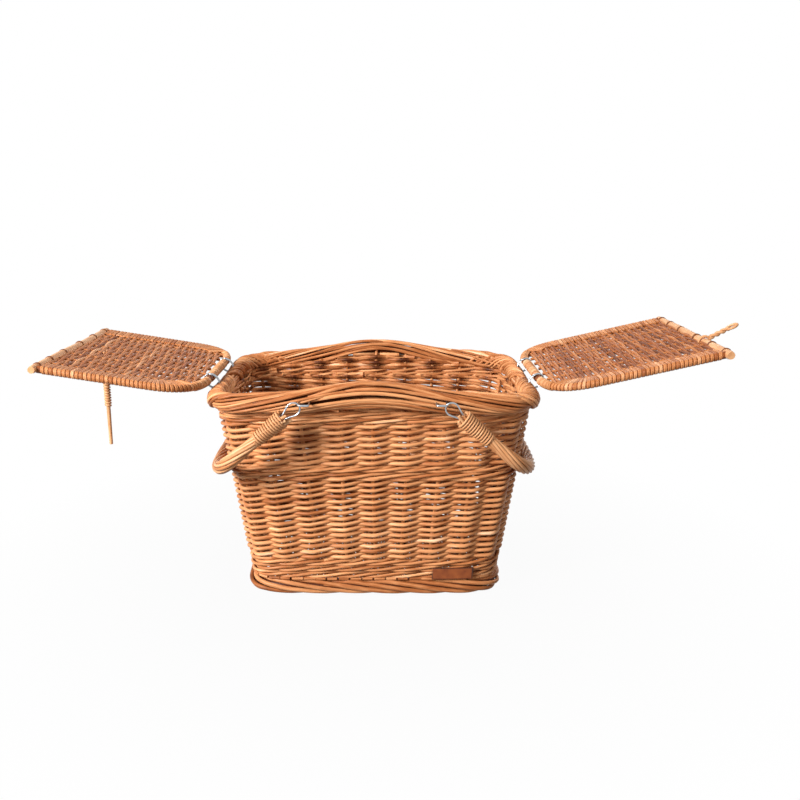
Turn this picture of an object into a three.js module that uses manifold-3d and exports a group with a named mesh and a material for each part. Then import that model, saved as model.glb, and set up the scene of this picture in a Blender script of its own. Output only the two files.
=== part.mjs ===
// Willow picnic basket with two hinged lids, two swing handles and a peg closure.
// Millimetres, +Z up, +X to the right, front towards -Y, origin on the floor under the base.
import * as THREE from 'three';
import { mergeVertices } from 'three/addons/utils/BufferGeometryUtils.js';
import Module from 'manifold-3d';

// Fits
const GAP = 0.3;

// Woven shell
const PLAN_POWER = 7;
const PLAN_STEPS = 40;
const CORNER_PULL = 60;
const WALL = 12;
const WALL_FOOT_LENGTH = 314;
const WALL_FOOT_WIDTH = 208;
const WALL_TOP_LENGTH = 380;
const WALL_TOP_WIDTH = 272;
const ROW_BULGE = 1.2;
const WEAVE_DEPTH = 2.2;
const LOWER_WALE_HEIGHT = 35.5;
const LOWER_WALE_ROWS = 4;
const LOWER_WEAVE_HEIGHT = 102;
const LOWER_WEAVE_ROWS = 3;
const MIDDLE_WALE_HEIGHT = 18;
const MIDDLE_WALE_ROWS = 2;
const UPPER_WEAVE_ROWS = 2;
const UPPER_WALE_HEIGHT = 15;
const UPPER_WALE_ROWS = 2;

// Foot border and base
const FOOT_STEP = 5.5;
const FOOT_THICKNESS = 20;
const FOOT_STRANDS = 4;
const FOOT_STRAND_RELIEF = 0.8;
const FOOT_TURNS = 5;
const FOOT_FLAT = 0.5;
const BASE_LIFT = 3;
const BASE_THICKNESS = 9;

// Rolled rim border
const RIM_HEIGHT = 252.5;
const RIM_DROP = 7.5;
const RIM_ARCH = 16.7;
const RIM_ARCH_POWER = 5;
const RIM_END_DIP = 4.5;
const BORDER_WIDTH = 24;
const BORDER_HEIGHT = 25;
const BORDER_SEAT = 9.3;

// Lids
const HINGE_OVERHANG = 14.5;
const HINGE_RISE = 12.5;
const LEFT_LID_LENGTH = 186;
const RIGHT_LID_LENGTH = 207;
const LEFT_LID_TILT = 8.9;
const RIGHT_LID_TILT = 12.8;
const LID_ROD = 9;
const LID_INSET = 6;
const LID_CORNER = 55;
const LID_CORNER_WIDTH = 74;
const LID_BAR = 10;
const LID_BAR_TIP = 9;
const LID_PANEL = 7;
const LID_RIB = 4.4;
const LID_RIB_COUNT = 7;
const LID_RIB_PITCH = 32;
const LID_GRID_ROWS = 5;
const LID_GRID_PITCH = 25;
const LID_SLOT_LENGTH = 9;
const LID_SLOT_WIDTH = 2.4;
const SIDE_WRAP = 12.4;
const HINGE_WRAP = 11.6;
const HINGE_WRAP_CLEAR = 4;

// Wire rings that tie each lid's end rod to the rim
const RING_SPREAD = 100;
const RING_PLAY = 0.45;
const RING_WIRE = 1.8;
const RING_INSET = 3.4;
const RING_DROP = 3;
const RING_SLOT = 5;

// Swing handles
const PIVOT_INSET = 106;
const PIVOT_RISE = 5.5;
const HANDLE_STANDOFF = 24;
const HANDLE_REACH = 138;
const HANDLE_CLEAR = 2;
const GRIP = 17;
const GRIP_BOW = 0.6;
const GRIP_STRANDS = 5;
const GRIP_RELIEF = 0.9;
const GRIP_TURNS = 4;
const GRIP_END = 20;
const GRIP_FLARE = 19.2;
const GRIP_WAIST = 13.4;
const WHIP_START = 24;
const WHIP_LENGTH = 40;
const WHIP_SKEIN = 2;
const WHIP_TURNS = 5;
const WHIP_SIDES = 8;

// Wire loop and staple at each end of a handle
const LOOP_WIRE = 2;
const LOOP_WIDTH = 15;
const LOOP_NECK = 4.4;
const LOOP_TAIL = 34;
const STAPLE_WIRE = 2.4;
const STAPLE_SPREAD = 12;
const STAPLE_DEPTH = 7;

// Closing loop on the right lid and tethered peg under the left lid
const CLOSER_PLACE = -50;
const CLOSER_TILT = 15;
const CLOSER_LIFT = 2;
const CLOSER_STRAND = 3.4;
const CLOSER_STEM = 24;
const CLOSER_TURNS = 1;
const CLOSER_EYE = 12.4;
const EYE_INSET = 41;
const EYE_SPREAD = 12;
const EYE_ROD = 3.2;
const EYE_DROP = 9;
const TETHER_RING = 7.2;
const TETHER_RING_ROD = 3;
const TETHER = 9;
const TETHER_LENGTH = 57;
const TETHER_TURNS = 1.25;
const PEG = 5.5;
const PEG_TIP = 4.6;
const PEG_LENGTH = 63.5;
const PEG_SOCKET = 11;

// Leather patch on the front wall
const PATCH_FROM = 72;
const PATCH_LENGTH = 50;
const PATCH_LIFT = 2;
const PATCH_HEIGHT = 16;
const PATCH_THICKNESS = 1.6;

const WILLOW = { color: '#c5834b', roughness: 0.6, metalness: 0 };
const LID_WILLOW = { color: '#bd7d50', roughness: 0.6, metalness: 0 };
const PALE_WILLOW = { color: '#d6a268', roughness: 0.55, metalness: 0 };
const STEEL = { color: '#b4b8bd', roughness: 0.3, metalness: 1 };
const LEATHER = { color: '#6a3b22', roughness: 0.7, metalness: 0 };

// Sizes that follow from those above
const footTop = FOOT_THICKNESS - FOOT_FLAT;
const footLength = WALL_FOOT_LENGTH + 2 * FOOT_STEP;
const footWidth = WALL_FOOT_WIDTH + 2 * FOOT_STEP;
const lowerWaleTop = footTop + LOWER_WALE_HEIGHT;
const lowerWeaveTop = lowerWaleTop + LOWER_WEAVE_HEIGHT;
const middleWaleTop = lowerWeaveTop + MIDDLE_WALE_HEIGHT;
const wallTopHeight = RIM_HEIGHT - RIM_DROP;
const hingeReach = WALL_TOP_LENGTH / 2 + HINGE_OVERHANG;
const hingeHeight = RIM_HEIGHT + HINGE_RISE;
const lidWidth = WALL_TOP_WIDTH - 2 * LID_INSET;
const lidBarLength = lidWidth + 2 * LID_BAR_TIP;
const hingeWrapLength = RING_SPREAD - 2 * HINGE_WRAP_CLEAR;
const ringDiameter = 2 * (Math.hypot(RING_INSET, RING_DROP) + LID_ROD / 2 + RING_PLAY) + RING_WIRE;
const pivotReach = WALL_TOP_LENGTH / 2 - PIVOT_INSET;
const pivotHeight = RIM_HEIGHT + PIVOT_RISE;
const handleSpread = WALL_TOP_WIDTH + 2 * HANDLE_STANDOFF;

// A handle hangs until the middle of its grip is a small clearance off the sloping end wall.
const endFlare = (WALL_TOP_LENGTH - WALL_FOOT_LENGTH) / 2 / (wallTopHeight - footTop);
const endSlope = Math.atan(endFlare);
const endAtPivot = WALL_TOP_LENGTH / 2 + endFlare * (pivotHeight - wallTopHeight);
const gripSwing = (endAtPivot - pivotReach) * Math.cos(endSlope) + GRIP / 2 + HANDLE_CLEAR;
const handleHang = endSlope + Math.acos(gripSwing / HANDLE_REACH);

const wasm = await Module();
wasm.setup();

const basket = new THREE.Group();

// Solid helpers: a mesh part, boolean cut and join, and skins over runs of equal rings.
function addPart(parent, name, geometry, finish) {
  geometry.computeVertexNormals();
  const mesh = new THREE.Mesh(geometry, new THREE.MeshStandardMaterial(finish));
  mesh.name = name;
  parent.add(mesh);
  return mesh;
}

function toSolid(geometry) {
  const bare = geometry.clone();
  bare.deleteAttribute('normal');
  bare.deleteAttribute('uv');
  const merged = mergeVertices(bare);
  return new wasm.Manifold(new wasm.Mesh({
    numProp: 3,
    vertProperties: new Float32Array(merged.attributes.position.array),
    triVerts: new Uint32Array(merged.index.array),
  }));
}

function toGeometry(solid) {
  const { vertProperties, triVerts } = solid.getMesh();
  const geometry = new THREE.BufferGeometry();
  geometry.setAttribute('position', new THREE.BufferAttribute(vertProperties, 3));
  geometry.setIndex(new THREE.BufferAttribute(triVerts, 1));
  return geometry;
}

function cut(geometry, tools) {
  return toGeometry(tools.reduce((solid, tool) => solid.subtract(toSolid(tool)), toSolid(geometry)));
}

function join(first, second) {
  return toGeometry(toSolid(first).add(toSolid(second)));
}

function signedVolume(positions, indices) {
  const [a, b, c] = [new THREE.Vector3(), new THREE.Vector3(), new THREE.Vector3()];
  let volume = 0;
  for (let i = 0; i < indices.length; i += 3) {
    a.fromArray(positions, 3 * indices[i]);
    b.fromArray(positions, 3 * indices[i + 1]);
    c.fromArray(positions, 3 * indices[i + 2]);
    volume += a.dot(b.cross(c)) / 6;
  }
  return volume;
}

function skin(rings, closed) {
  const count = rings[0].length;
  const points = rings.flat();
  const indices = [];
  const spans = closed ? rings.length : rings.length - 1;
  for (let i = 0; i < spans; i += 1) {
    const here = i * count;
    const next = ((i + 1) % rings.length) * count;
    for (let j = 0; j < count; j += 1) {
      const k = (j + 1) % count;
      indices.push(here + j, here + k, next + k, here + j, next + k, next + j);
    }
  }
  if (!closed) {
    [[0, false], [rings.length - 1, true]].forEach(([ring, flip]) => {
      const middle = new THREE.Vector3();
      rings[ring].forEach((point) => middle.addScaledVector(point, 1 / count));
      const hub = points.push(middle) - 1;
      for (let j = 0; j < count; j += 1) {
        const from = ring * count + j;
        const to = ring * count + ((j + 1) % count);
        indices.push(hub, flip ? from : to, flip ? to : from);
      }
    });
  }
  const positions = points.flatMap((point) => point.toArray());
  if (signedVolume(positions, indices) < 0) indices.reverse();
  const geometry = new THREE.BufferGeometry();
  geometry.setAttribute('position', new THREE.Float32BufferAttribute(positions, 3));
  geometry.setIndex(indices);
  return geometry;
}

function circle(diameter, sides) {
  return Array.from({ length: sides }, (_, i) => {
    const angle = (2 * Math.PI * i) / sides;
    return [(diameter / 2) * Math.cos(angle), (diameter / 2) * Math.sin(angle)];
  });
}

// Rope section: round strands side by side, turned by an angle.
function ropeSection(diameter, strands, relief, turn) {
  const sides = 3 * strands;
  return Array.from({ length: sides }, (_, i) => {
    const angle = (2 * Math.PI * i) / sides;
    const radius = diameter / 2 - relief * (1 - Math.cos(strands * angle));
    return [radius * Math.cos(angle + turn), radius * Math.sin(angle + turn)];
  });
}

function sweep(curve, steps, section, closed = false) {
  const frames = curve.computeFrenetFrames(steps, closed);
  const rings = [];
  for (let i = 0; i < (closed ? steps : steps + 1); i += 1) {
    const centre = curve.getPointAt(i / steps);
    rings.push(section(i / steps).map(([x, y]) => centre.clone()
      .addScaledVector(frames.normals[i], x)
      .addScaledVector(frames.binormals[i], y)));
  }
  return skin(rings, closed);
}

// Round rod bent in one plane along straight runs and bends.
function bentRod(path, plane, diameter, sides) {
  const points = path.getPoints(4);
  return skin(points.map((point, i) => {
    const before = points[Math.max(i - 1, 0)];
    const after = points[Math.min(i + 1, points.length - 1)];
    const across = plane.clone().cross(after.clone().sub(before).normalize());
    return circle(diameter, sides).map(([x, y]) => point.clone()
      .addScaledVector(across, x)
      .addScaledVector(plane, y));
  }), false);
}

function rod(from, to, diameter, sides = 8, endDiameter = diameter) {
  const start = new THREE.Vector3(...from);
  const end = new THREE.Vector3(...to);
  const line = new THREE.LineCurve3(start, end);
  return sweep(line, 1, (u) => circle(THREE.MathUtils.lerp(diameter, endDiameter, u), sides));
}

function sleeve(length, bore, outer, sides) {
  const profile = [[bore, 0], [outer, 0], [outer, length], [bore, length], [bore, 0]];
  return new THREE.LatheGeometry(profile.map(([d, z]) => new THREE.Vector2(d / 2, z)), sides);
}

function ring(diameter, wire, arc, sides = 5) {
  return new THREE.TorusGeometry(diameter / 2, wire / 2, sides, arc);
}

// Plan of the basket: a bowed rectangle with round corners.
function planPoint(halfLength, halfWidth, angle) {
  const along = Math.cos(angle);
  const across = Math.sin(angle);
  return new THREE.Vector2(
    Math.sign(along) * halfLength * Math.abs(along) ** (2 / PLAN_POWER),
    Math.sign(across) * halfWidth * Math.abs(across) ** (2 / PLAN_POWER),
  );
}

class PlanCurve extends THREE.Curve {
  constructor(halfLength, halfWidth, height) {
    super();
    this.halfLength = halfLength;
    this.halfWidth = halfWidth;
    this.height = height;
    this.arcLengthDivisions = 1200;
  }

  getPoint(t, target = new THREE.Vector3()) {
    const point = planPoint(this.halfLength, this.halfWidth, 2 * Math.PI * t);
    return target.set(point.x, point.y, this.height);
  }
}

// Steps round the plan: its height climbs as the wall turns, so even steps along it are even
// on the sides and closer together round the corners.
class PlanSteps extends PlanCurve {
  getPoint(t, target = new THREE.Vector3()) {
    const angle = 2 * Math.PI * t;
    const edge = planPoint(1, 1, angle);
    const facing = Math.atan2(
      Math.sign(edge.y) * Math.abs(edge.y) ** (PLAN_POWER - 1) / this.halfWidth,
      Math.sign(edge.x) * Math.abs(edge.x) ** (PLAN_POWER - 1) / this.halfLength,
    );
    const ahead = THREE.MathUtils.euclideanModulo(facing - angle + Math.PI, 2 * Math.PI) - Math.PI;
    return super.getPoint(t, target).setZ(CORNER_PULL * (angle + ahead));
  }
}

const topPlan = new PlanSteps(WALL_TOP_LENGTH / 2, WALL_TOP_WIDTH / 2, 0);
const planAngles = Array.from({ length: PLAN_STEPS }, (_, i) =>
  2 * Math.PI * topPlan.getUtoTmapping(i / PLAN_STEPS));

// Flared wall: its outer face at a height, moved in or out by an offset.
function wallPoint(angle, height, offset, seatHeight = height) {
  const flare = (seatHeight - footTop) / (wallTopHeight - footTop);
  const halfLength = THREE.MathUtils.lerp(WALL_FOOT_LENGTH, WALL_TOP_LENGTH, flare) / 2;
  const halfWidth = THREE.MathUtils.lerp(WALL_FOOT_WIDTH, WALL_TOP_WIDTH, flare) / 2;
  const point = planPoint(halfLength + offset, halfWidth + offset, angle);
  return new THREE.Vector3(point.x, point.y, height);
}

// The rim arches up over the long sides and dips at the ends where the lids hinge.
function rimHeight(angle) {
  const point = planPoint(1, 1, angle);
  const arch = RIM_ARCH * Math.cos((Math.PI / 2) * point.x) ** RIM_ARCH_POWER;
  const dip = RIM_END_DIP * Math.cos((Math.PI / 2) * point.y) ** 2 * Math.abs(point.x) ** 8;
  return RIM_HEIGHT + arch - dip;
}

// Relief of a band: waling rows bulge all round, woven rows change over at every step.
const waleRelief = (row) => (row % 2) * ROW_BULGE;
const weaveRelief = (row, step) => ((row + step) % 2 ? ROW_BULGE : -WEAVE_DEPTH);

function band(rows, relief, bottom, top) {
  return skin(planAngles.map((angle, step) => {
    const low = bottom(angle);
    const high = top(angle);
    const outer = Array.from({ length: 2 * rows + 1 }, (_, row) => {
      const height = THREE.MathUtils.lerp(low, high, row / (2 * rows));
      return wallPoint(angle, height, relief(row, step));
    });
    return [...outer, wallPoint(angle, high, -WALL), wallPoint(angle, low, -WALL)];
  }), true);
}

const waleSeat = (angle) => rimHeight(angle) - BORDER_SEAT - GAP;
const weaveSeat = (angle) => waleSeat(angle) - UPPER_WALE_HEIGHT - GAP;
const bands = [
  ['lower_wale', LOWER_WALE_ROWS, waleRelief, () => footTop + GAP, () => lowerWaleTop],
  ['lower_weave', LOWER_WEAVE_ROWS, weaveRelief, () => lowerWaleTop + GAP, () => lowerWeaveTop],
  ['middle_wale', MIDDLE_WALE_ROWS, waleRelief, () => lowerWeaveTop + GAP, () => middleWaleTop],
  ['upper_weave', UPPER_WEAVE_ROWS, weaveRelief, () => middleWaleTop + GAP, weaveSeat],
  ['upper_wale', UPPER_WALE_ROWS, waleRelief, (angle) => weaveSeat(angle) + GAP, waleSeat],
];
bands.forEach(([name, rows, relief, bottom, top]) =>
  addPart(basket, name, band(rows, relief, bottom, top), WILLOW));

// Foot border: a twisted ring of strands, worn flat underneath.
const footPlan = new PlanCurve(
  (footLength - FOOT_THICKNESS) / 2,
  (footWidth - FOOT_THICKNESS) / 2,
  FOOT_THICKNESS / 2 - FOOT_FLAT,
);
const footRing = sweep(
  footPlan,
  8 * FOOT_TURNS,
  (u) => ropeSection(FOOT_THICKNESS, FOOT_STRANDS, FOOT_STRAND_RELIEF / 2, 2 * Math.PI * FOOT_TURNS * u),
  true,
);
const floorCut = new THREE.BoxGeometry(2 * footLength, 2 * footWidth, FOOT_THICKNESS)
  .translate(0, 0, -FOOT_THICKNESS / 2);
addPart(basket, 'foot_border', cut(footRing, [floorCut]), WILLOW);

// Base: a flat panel inside the foot border.
const basePlate = [BASE_LIFT, BASE_LIFT + BASE_THICKNESS].map((height) => planAngles.map((angle) => {
  const point = planPoint(
    footLength / 2 - FOOT_THICKNESS - GAP,
    footWidth / 2 - FOOT_THICKNESS - GAP,
    angle,
  );
  return new THREE.Vector3(point.x, point.y, height);
}));
addPart(basket, 'base_panel', skin(basePlate, false), WILLOW);

// Leather patch curved to the lower wale.
const patchAngles = Array.from({ length: 6 }, (_, i) => {
  const x = PATCH_FROM + (PATCH_LENGTH * i) / 5;
  return -Math.acos((x / (WALL_FOOT_LENGTH / 2 + ROW_BULGE)) ** (PLAN_POWER / 2));
});
const patchFace = ROW_BULGE + GAP;
const patchBottom = footTop + PATCH_LIFT;
const patchTop = patchBottom + PATCH_HEIGHT;
addPart(basket, 'leather_patch', skin(patchAngles.map((angle) => [
  wallPoint(angle, patchBottom, patchFace),
  wallPoint(angle, patchBottom, patchFace + PATCH_THICKNESS),
  wallPoint(angle, patchTop, patchFace + PATCH_THICKNESS),
  wallPoint(angle, patchTop, patchFace),
]), false), LEATHER);

// Hinge rings: each loops round a lid's end rod and through the rim border.
function hingeRing(side, across, wire) {
  return ring(ringDiameter, wire, 14)
    .rotateX(Math.PI / 2)
    .translate(side * (hingeReach - RING_INSET), across, hingeHeight - RING_DROP);
}

// Staples: the inner leg is the pin that a handle's wire loop turns on.
const pivotFace = handleSpread / 2;
const stapleFace = pivotFace + LOOP_WIRE / 2 + GAP + STAPLE_WIRE / 2;
const borderFace = (WALL_TOP_WIDTH + BORDER_WIDTH) / 2;

function staple(side, front, wire) {
  const bend = STAPLE_WIRE;
  const pin = side * pivotReach;
  const tail = side * (pivotReach - STAPLE_SPREAD);
  const deep = front * (borderFace - STAPLE_DEPTH);
  const near = front * (stapleFace - bend);
  const face = front * stapleFace;
  const at = (x, y) => new THREE.Vector3(x, y, pivotHeight);
  const path = new THREE.CurvePath();
  path.add(new THREE.LineCurve3(at(pin, deep), at(pin, near)));
  path.add(new THREE.QuadraticBezierCurve3(at(pin, near), at(pin, face), at(pin - side * bend, face)));
  path.add(new THREE.LineCurve3(at(pin - side * bend, face), at(tail + side * bend, face)));
  path.add(new THREE.QuadraticBezierCurve3(at(tail + side * bend, face), at(tail, face), at(tail, near)));
  path.add(new THREE.LineCurve3(at(tail, near), at(tail, deep)));
  return bentRod(path, new THREE.Vector3(0, 0, 1), wire, 6);
}

// Rim border: a rolled bundle that sits on the upper wale and overhangs the wall outside.
const borderLip = ROW_BULGE + GAP;
const lipAngle = -Math.acos(borderLip / (BORDER_WIDTH / 2));
const seatAngle = Math.PI + Math.asin(BORDER_SEAT / (BORDER_HEIGHT / 2));
const borderSection = Array.from({ length: 8 }, (_, i) => {
  const angle = THREE.MathUtils.lerp(lipAngle, seatAngle, i / 7);
  return [(BORDER_WIDTH / 2) * Math.cos(angle), (BORDER_HEIGHT / 2) * Math.sin(angle)];
});
borderSection.push([borderLip, -BORDER_SEAT]);
const borderRing = skin(planAngles.map((angle) => {
  const middle = rimHeight(angle);
  return borderSection.map(([offset, rise]) =>
    wallPoint(angle, middle + rise, offset, middle - BORDER_SEAT));
}), true);

const corners = [['left', -1], ['right', 1]].flatMap(([end, side]) =>
  [['front', -1], ['back', 1]].map(([face, front]) => ({ end, side, face, front })));
const borderHoles = corners.flatMap(({ side, front }) => [
  hingeRing(side, (front * RING_SPREAD) / 2, RING_WIRE + 2 * GAP),
  staple(side, front, STAPLE_WIRE + 2 * GAP),
]);
addPart(basket, 'rim_border', cut(borderRing, borderHoles), WILLOW);
corners.forEach(({ end, side, face, front }) => {
  addPart(basket, `${end}_hinge_ring_${face}`, hingeRing(side, (front * RING_SPREAD) / 2, RING_WIRE), STEEL);
  addPart(basket, `${end}_staple_${face}`, staple(side, front, STAPLE_WIRE), STEEL);
});

// Lids: X runs from the hinge axis to the free edge, Z is the inside face.
const sideLine = lidWidth / 2;
const wrapStart = LID_CORNER;
const ribPlaces = Array.from({ length: LID_RIB_COUNT }, (_, i) =>
  (i - (LID_RIB_COUNT - 1) / 2) * LID_RIB_PITCH);

function lidHoop(length) {
  const end = length - LID_BAR / 2 - GAP;
  const at = (x, y) => new THREE.Vector3(x, y, 0);
  const inner = sideLine - LID_CORNER_WIDTH;
  const path = new THREE.CurvePath();
  path.add(new THREE.LineCurve3(at(end, -sideLine), at(LID_CORNER, -sideLine)));
  path.add(new THREE.QuadraticBezierCurve3(at(LID_CORNER, -sideLine), at(0, -sideLine), at(0, -inner)));
  path.add(new THREE.LineCurve3(at(0, -inner), at(0, inner)));
  path.add(new THREE.QuadraticBezierCurve3(at(0, inner), at(0, sideLine), at(LID_CORNER, sideLine)));
  path.add(new THREE.LineCurve3(at(LID_CORNER, sideLine), at(end, sideLine)));
  return bentRod(path, new THREE.Vector3(0, 0, 1), LID_ROD, 8);
}

// Gaps between the weavers, in rows across the lid midway between the ribs.
function lidGrid(length) {
  const firstRow = (length - (LID_GRID_ROWS - 1) * LID_GRID_PITCH) / 2 + LID_CORNER / 4;
  return Array.from({ length: LID_GRID_ROWS * (LID_RIB_COUNT - 1) }, (_, i) => {
    const x = firstRow + LID_GRID_PITCH * Math.floor(i / (LID_RIB_COUNT - 1));
    const y = ribPlaces[i % (LID_RIB_COUNT - 1)] + LID_RIB_PITCH / 2;
    return new THREE.BoxGeometry(LID_SLOT_WIDTH, LID_SLOT_LENGTH, 2 * LID_PANEL).translate(x, y, 0);
  });
}

function lidPanel(length) {
  const near = HINGE_WRAP / 2 + GAP;
  const far = length - LID_BAR / 2 - GAP;
  const side = sideLine - SIDE_WRAP / 2 - GAP;
  const inner = sideLine - LID_CORNER_WIDTH;
  const slotEnd = ringDiameter - RING_SLOT + RING_WIRE;
  const shape = new THREE.Shape();
  shape.moveTo(far, -side);
  shape.lineTo(far, side);
  shape.lineTo(LID_CORNER, side);
  shape.quadraticCurveTo(near, side, near, inner);
  [1, -1].forEach((half) => {
    const slot = (half * RING_SPREAD) / 2;
    shape.lineTo(near, slot + RING_SLOT / 2);
    shape.lineTo(slotEnd, slot + RING_SLOT / 2);
    shape.lineTo(slotEnd, slot - RING_SLOT / 2);
    shape.lineTo(near, slot - RING_SLOT / 2);
  });
  shape.lineTo(near, -inner);
  shape.quadraticCurveTo(near, -side, LID_CORNER, -side);
  const plate = new THREE.ExtrudeGeometry(shape, { depth: LID_PANEL, bevelEnabled: false, curveSegments: 6 });
  return plate.translate(0, 0, -LID_PANEL / 2);
}

function addLid(end, length, placement, extraHoles) {
  const lid = new THREE.Group();
  lid.position.set(placement.reach, 0, hingeHeight);
  lid.rotation.set(0, -THREE.MathUtils.degToRad(placement.tilt), placement.turn, 'ZYX');
  basket.add(lid);
  const ribEnd = length - LID_BAR / 2 - GAP;
  const ribHoles = ribPlaces.map((y) => rod([-LID_CORNER, y, 0], [length, y, 0], LID_RIB + 2 * GAP));
  addPart(lid, `${end}_lid_hoop`, lidHoop(length), LID_WILLOW);
  const weaveHoles = [...ribHoles, ...lidGrid(length), ...extraHoles];
  addPart(lid, `${end}_lid_weave`, cut(lidPanel(length), weaveHoles), LID_WILLOW);
  const bar = rod([length, -lidBarLength / 2, 0], [length, lidBarLength / 2, 0], LID_BAR, 12);
  addPart(lid, `${end}_lid_bar`, bar, PALE_WILLOW);
  const ribStart = LID_CORNER / 4;
  ribPlaces.forEach((y, i) => {
    addPart(lid, `${end}_lid_rib_${i + 1}`, rod([ribStart, y, 0], [ribEnd, y, 0], LID_RIB), LID_WILLOW);
  });
  [['front', -1], ['back', 1]].forEach(([face, front]) => {
    const wrap = sleeve(ribEnd - wrapStart, LID_ROD + 2 * GAP, SIDE_WRAP, 10)
      .rotateZ(-Math.PI / 2)
      .translate(wrapStart, front * Math.cos(placement.turn) * sideLine, 0);
    addPart(lid, `${end}_lid_wrap_${face}`, wrap, LID_WILLOW);
  });
  const hingeWrap = sleeve(hingeWrapLength, LID_ROD + 2 * GAP, HINGE_WRAP, 10)
    .translate(0, -hingeWrapLength / 2, 0);
  addPart(lid, `${end}_lid_hinge_wrap`, hingeWrap, PALE_WILLOW);
  return lid;
}

// Eye under the left lid that the peg hangs from.
const eyeReach = LEFT_LID_LENGTH - EYE_INSET;

function pegEye(rodDiameter) {
  const half = EYE_SPREAD / 2;
  const top = LID_PANEL / 2 - 2 * GAP;
  const at = (y, z) => new THREE.Vector3(eyeReach, y, z);
  const path = new THREE.CurvePath();
  path.add(new THREE.LineCurve3(at(-half, top), at(-half, EYE_ROD - EYE_DROP)));
  path.add(new THREE.QuadraticBezierCurve3(
    at(-half, EYE_ROD - EYE_DROP), at(-half, -EYE_DROP), at(EYE_ROD - half, -EYE_DROP)));
  path.add(new THREE.LineCurve3(at(EYE_ROD - half, -EYE_DROP), at(half - EYE_ROD, -EYE_DROP)));
  path.add(new THREE.QuadraticBezierCurve3(
    at(half - EYE_ROD, -EYE_DROP), at(half, -EYE_DROP), at(half, EYE_ROD - EYE_DROP)));
  path.add(new THREE.LineCurve3(at(half, EYE_ROD - EYE_DROP), at(half, top)));
  return bentRod(path, new THREE.Vector3(1, 0, 0), rodDiameter, 6);
}

const eyeLegs = [-1, 1].map((half) => rod(
  [eyeReach, (half * EYE_SPREAD) / 2, -LID_PANEL],
  [eyeReach, (half * EYE_SPREAD) / 2, LID_PANEL],
  EYE_ROD + 2 * GAP,
));
const closerRing = LID_BAR + 2 * GAP + CLOSER_STRAND;

function closerCollar(strand) {
  return ring(closerRing, strand, 12)
    .rotateX(Math.PI / 2)
    .translate(RIGHT_LID_LENGTH, CLOSER_PLACE, 0);
}

const leftPlace = { reach: -hingeReach, tilt: LEFT_LID_TILT, turn: Math.PI };
const rightPlace = { reach: hingeReach, tilt: RIGHT_LID_TILT, turn: 0 };
const leftLid = addLid('left', LEFT_LID_LENGTH, leftPlace, eyeLegs);
const rightLid = addLid('right', RIGHT_LID_LENGTH, rightPlace, [closerCollar(CLOSER_STRAND + 2 * GAP)]);
addPart(leftLid, 'peg_eye', pegEye(EYE_ROD), PALE_WILLOW);

// Closing loop: twisted round the right lid's bar, with an eye at its tip.
const stemStart = closerRing / 2;
const stem = sweep(
  new THREE.LineCurve3(new THREE.Vector3(stemStart, 0, 0), new THREE.Vector3(stemStart + CLOSER_STEM, 0, 0)),
  8,
  (u) => ropeSection(2 * CLOSER_STRAND, 2, CLOSER_STRAND / 4, 2 * Math.PI * CLOSER_TURNS * u),
);
const closerEye = ring(CLOSER_EYE, CLOSER_STRAND, 14)
  .translate(stemStart + CLOSER_STEM + CLOSER_EYE / 2, 0, 0);
const closerArm = join(stem, closerEye)
  .rotateY(-THREE.MathUtils.degToRad(CLOSER_TILT))
  .translate(RIGHT_LID_LENGTH, CLOSER_PLACE, CLOSER_LIFT);
addPart(rightLid, 'closing_loop', join(closerCollar(CLOSER_STRAND), closerArm), PALE_WILLOW);

// Peg: a twisted tether ringed on the eye, with a stick bound into its lower end.
const peg = new THREE.Group();
leftLid.updateMatrixWorld(true);
peg.position.copy(leftLid.localToWorld(new THREE.Vector3(eyeReach, 0, -EYE_DROP)));
basket.add(peg);
const tetherTop = -TETHER_RING / 2;
const tetherStem = sweep(
  new THREE.LineCurve3(
    new THREE.Vector3(0, 0, tetherTop),
    new THREE.Vector3(0, 0, tetherTop - TETHER_LENGTH),
  ),
  10,
  (u) => ropeSection(TETHER, 3, GAP, 2 * Math.PI * TETHER_TURNS * u),
);
const tetherRing = ring(TETHER_RING, TETHER_RING_ROD, 12).rotateX(Math.PI / 2);
const tetherEnd = tetherTop - TETHER_LENGTH;
const socket = rod([0, 0, tetherEnd - PEG], [0, 0, tetherEnd + PEG_SOCKET + GAP], PEG + 2 * GAP, 10);
addPart(peg, 'peg_tether', cut(join(tetherStem, tetherRing), [socket]), PALE_WILLOW);
const pegTop = tetherEnd + PEG_SOCKET;
const pegStick = rod([0, 0, pegTop], [0, 0, pegTop - PEG_LENGTH], PEG, 10, PEG_TIP);
addPart(peg, 'peg', pegStick, PALE_WILLOW);

// Handles: X runs from the pivot axis along the legs, Y spans front to back.
const legLine = handleSpread / 2;
const whipEnd = WHIP_START + WHIP_LENGTH;
const legEnd = whipEnd + GRIP;

class GripCurve extends THREE.Curve {
  constructor() {
    super();
    this.arcLengthDivisions = 400;
  }

  // Straight legs through the whippings, then a bowed bar that reaches furthest in the middle.
  getPoint(t, target = new THREE.Vector3()) {
    const legShare = 0.16;
    const along = Math.min(t, 1 - t);
    if (along < legShare) {
      const x = THREE.MathUtils.lerp(GRIP_END, legEnd, along / legShare);
      return target.set(x, t < 0.5 ? -legLine : legLine, 0);
    }
    const angle = (Math.PI * (t - legShare)) / (1 - 2 * legShare);
    const across = Math.cos(angle);
    return target.set(
      legEnd + (HANDLE_REACH - legEnd) * Math.abs(Math.sin(angle)) ** GRIP_BOW,
      -legLine * Math.sign(across) * Math.abs(across) ** GRIP_BOW,
      0,
    );
  }
}

const gripCurve = new GripCurve();
const gripLength = gripCurve.getLength();

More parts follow.
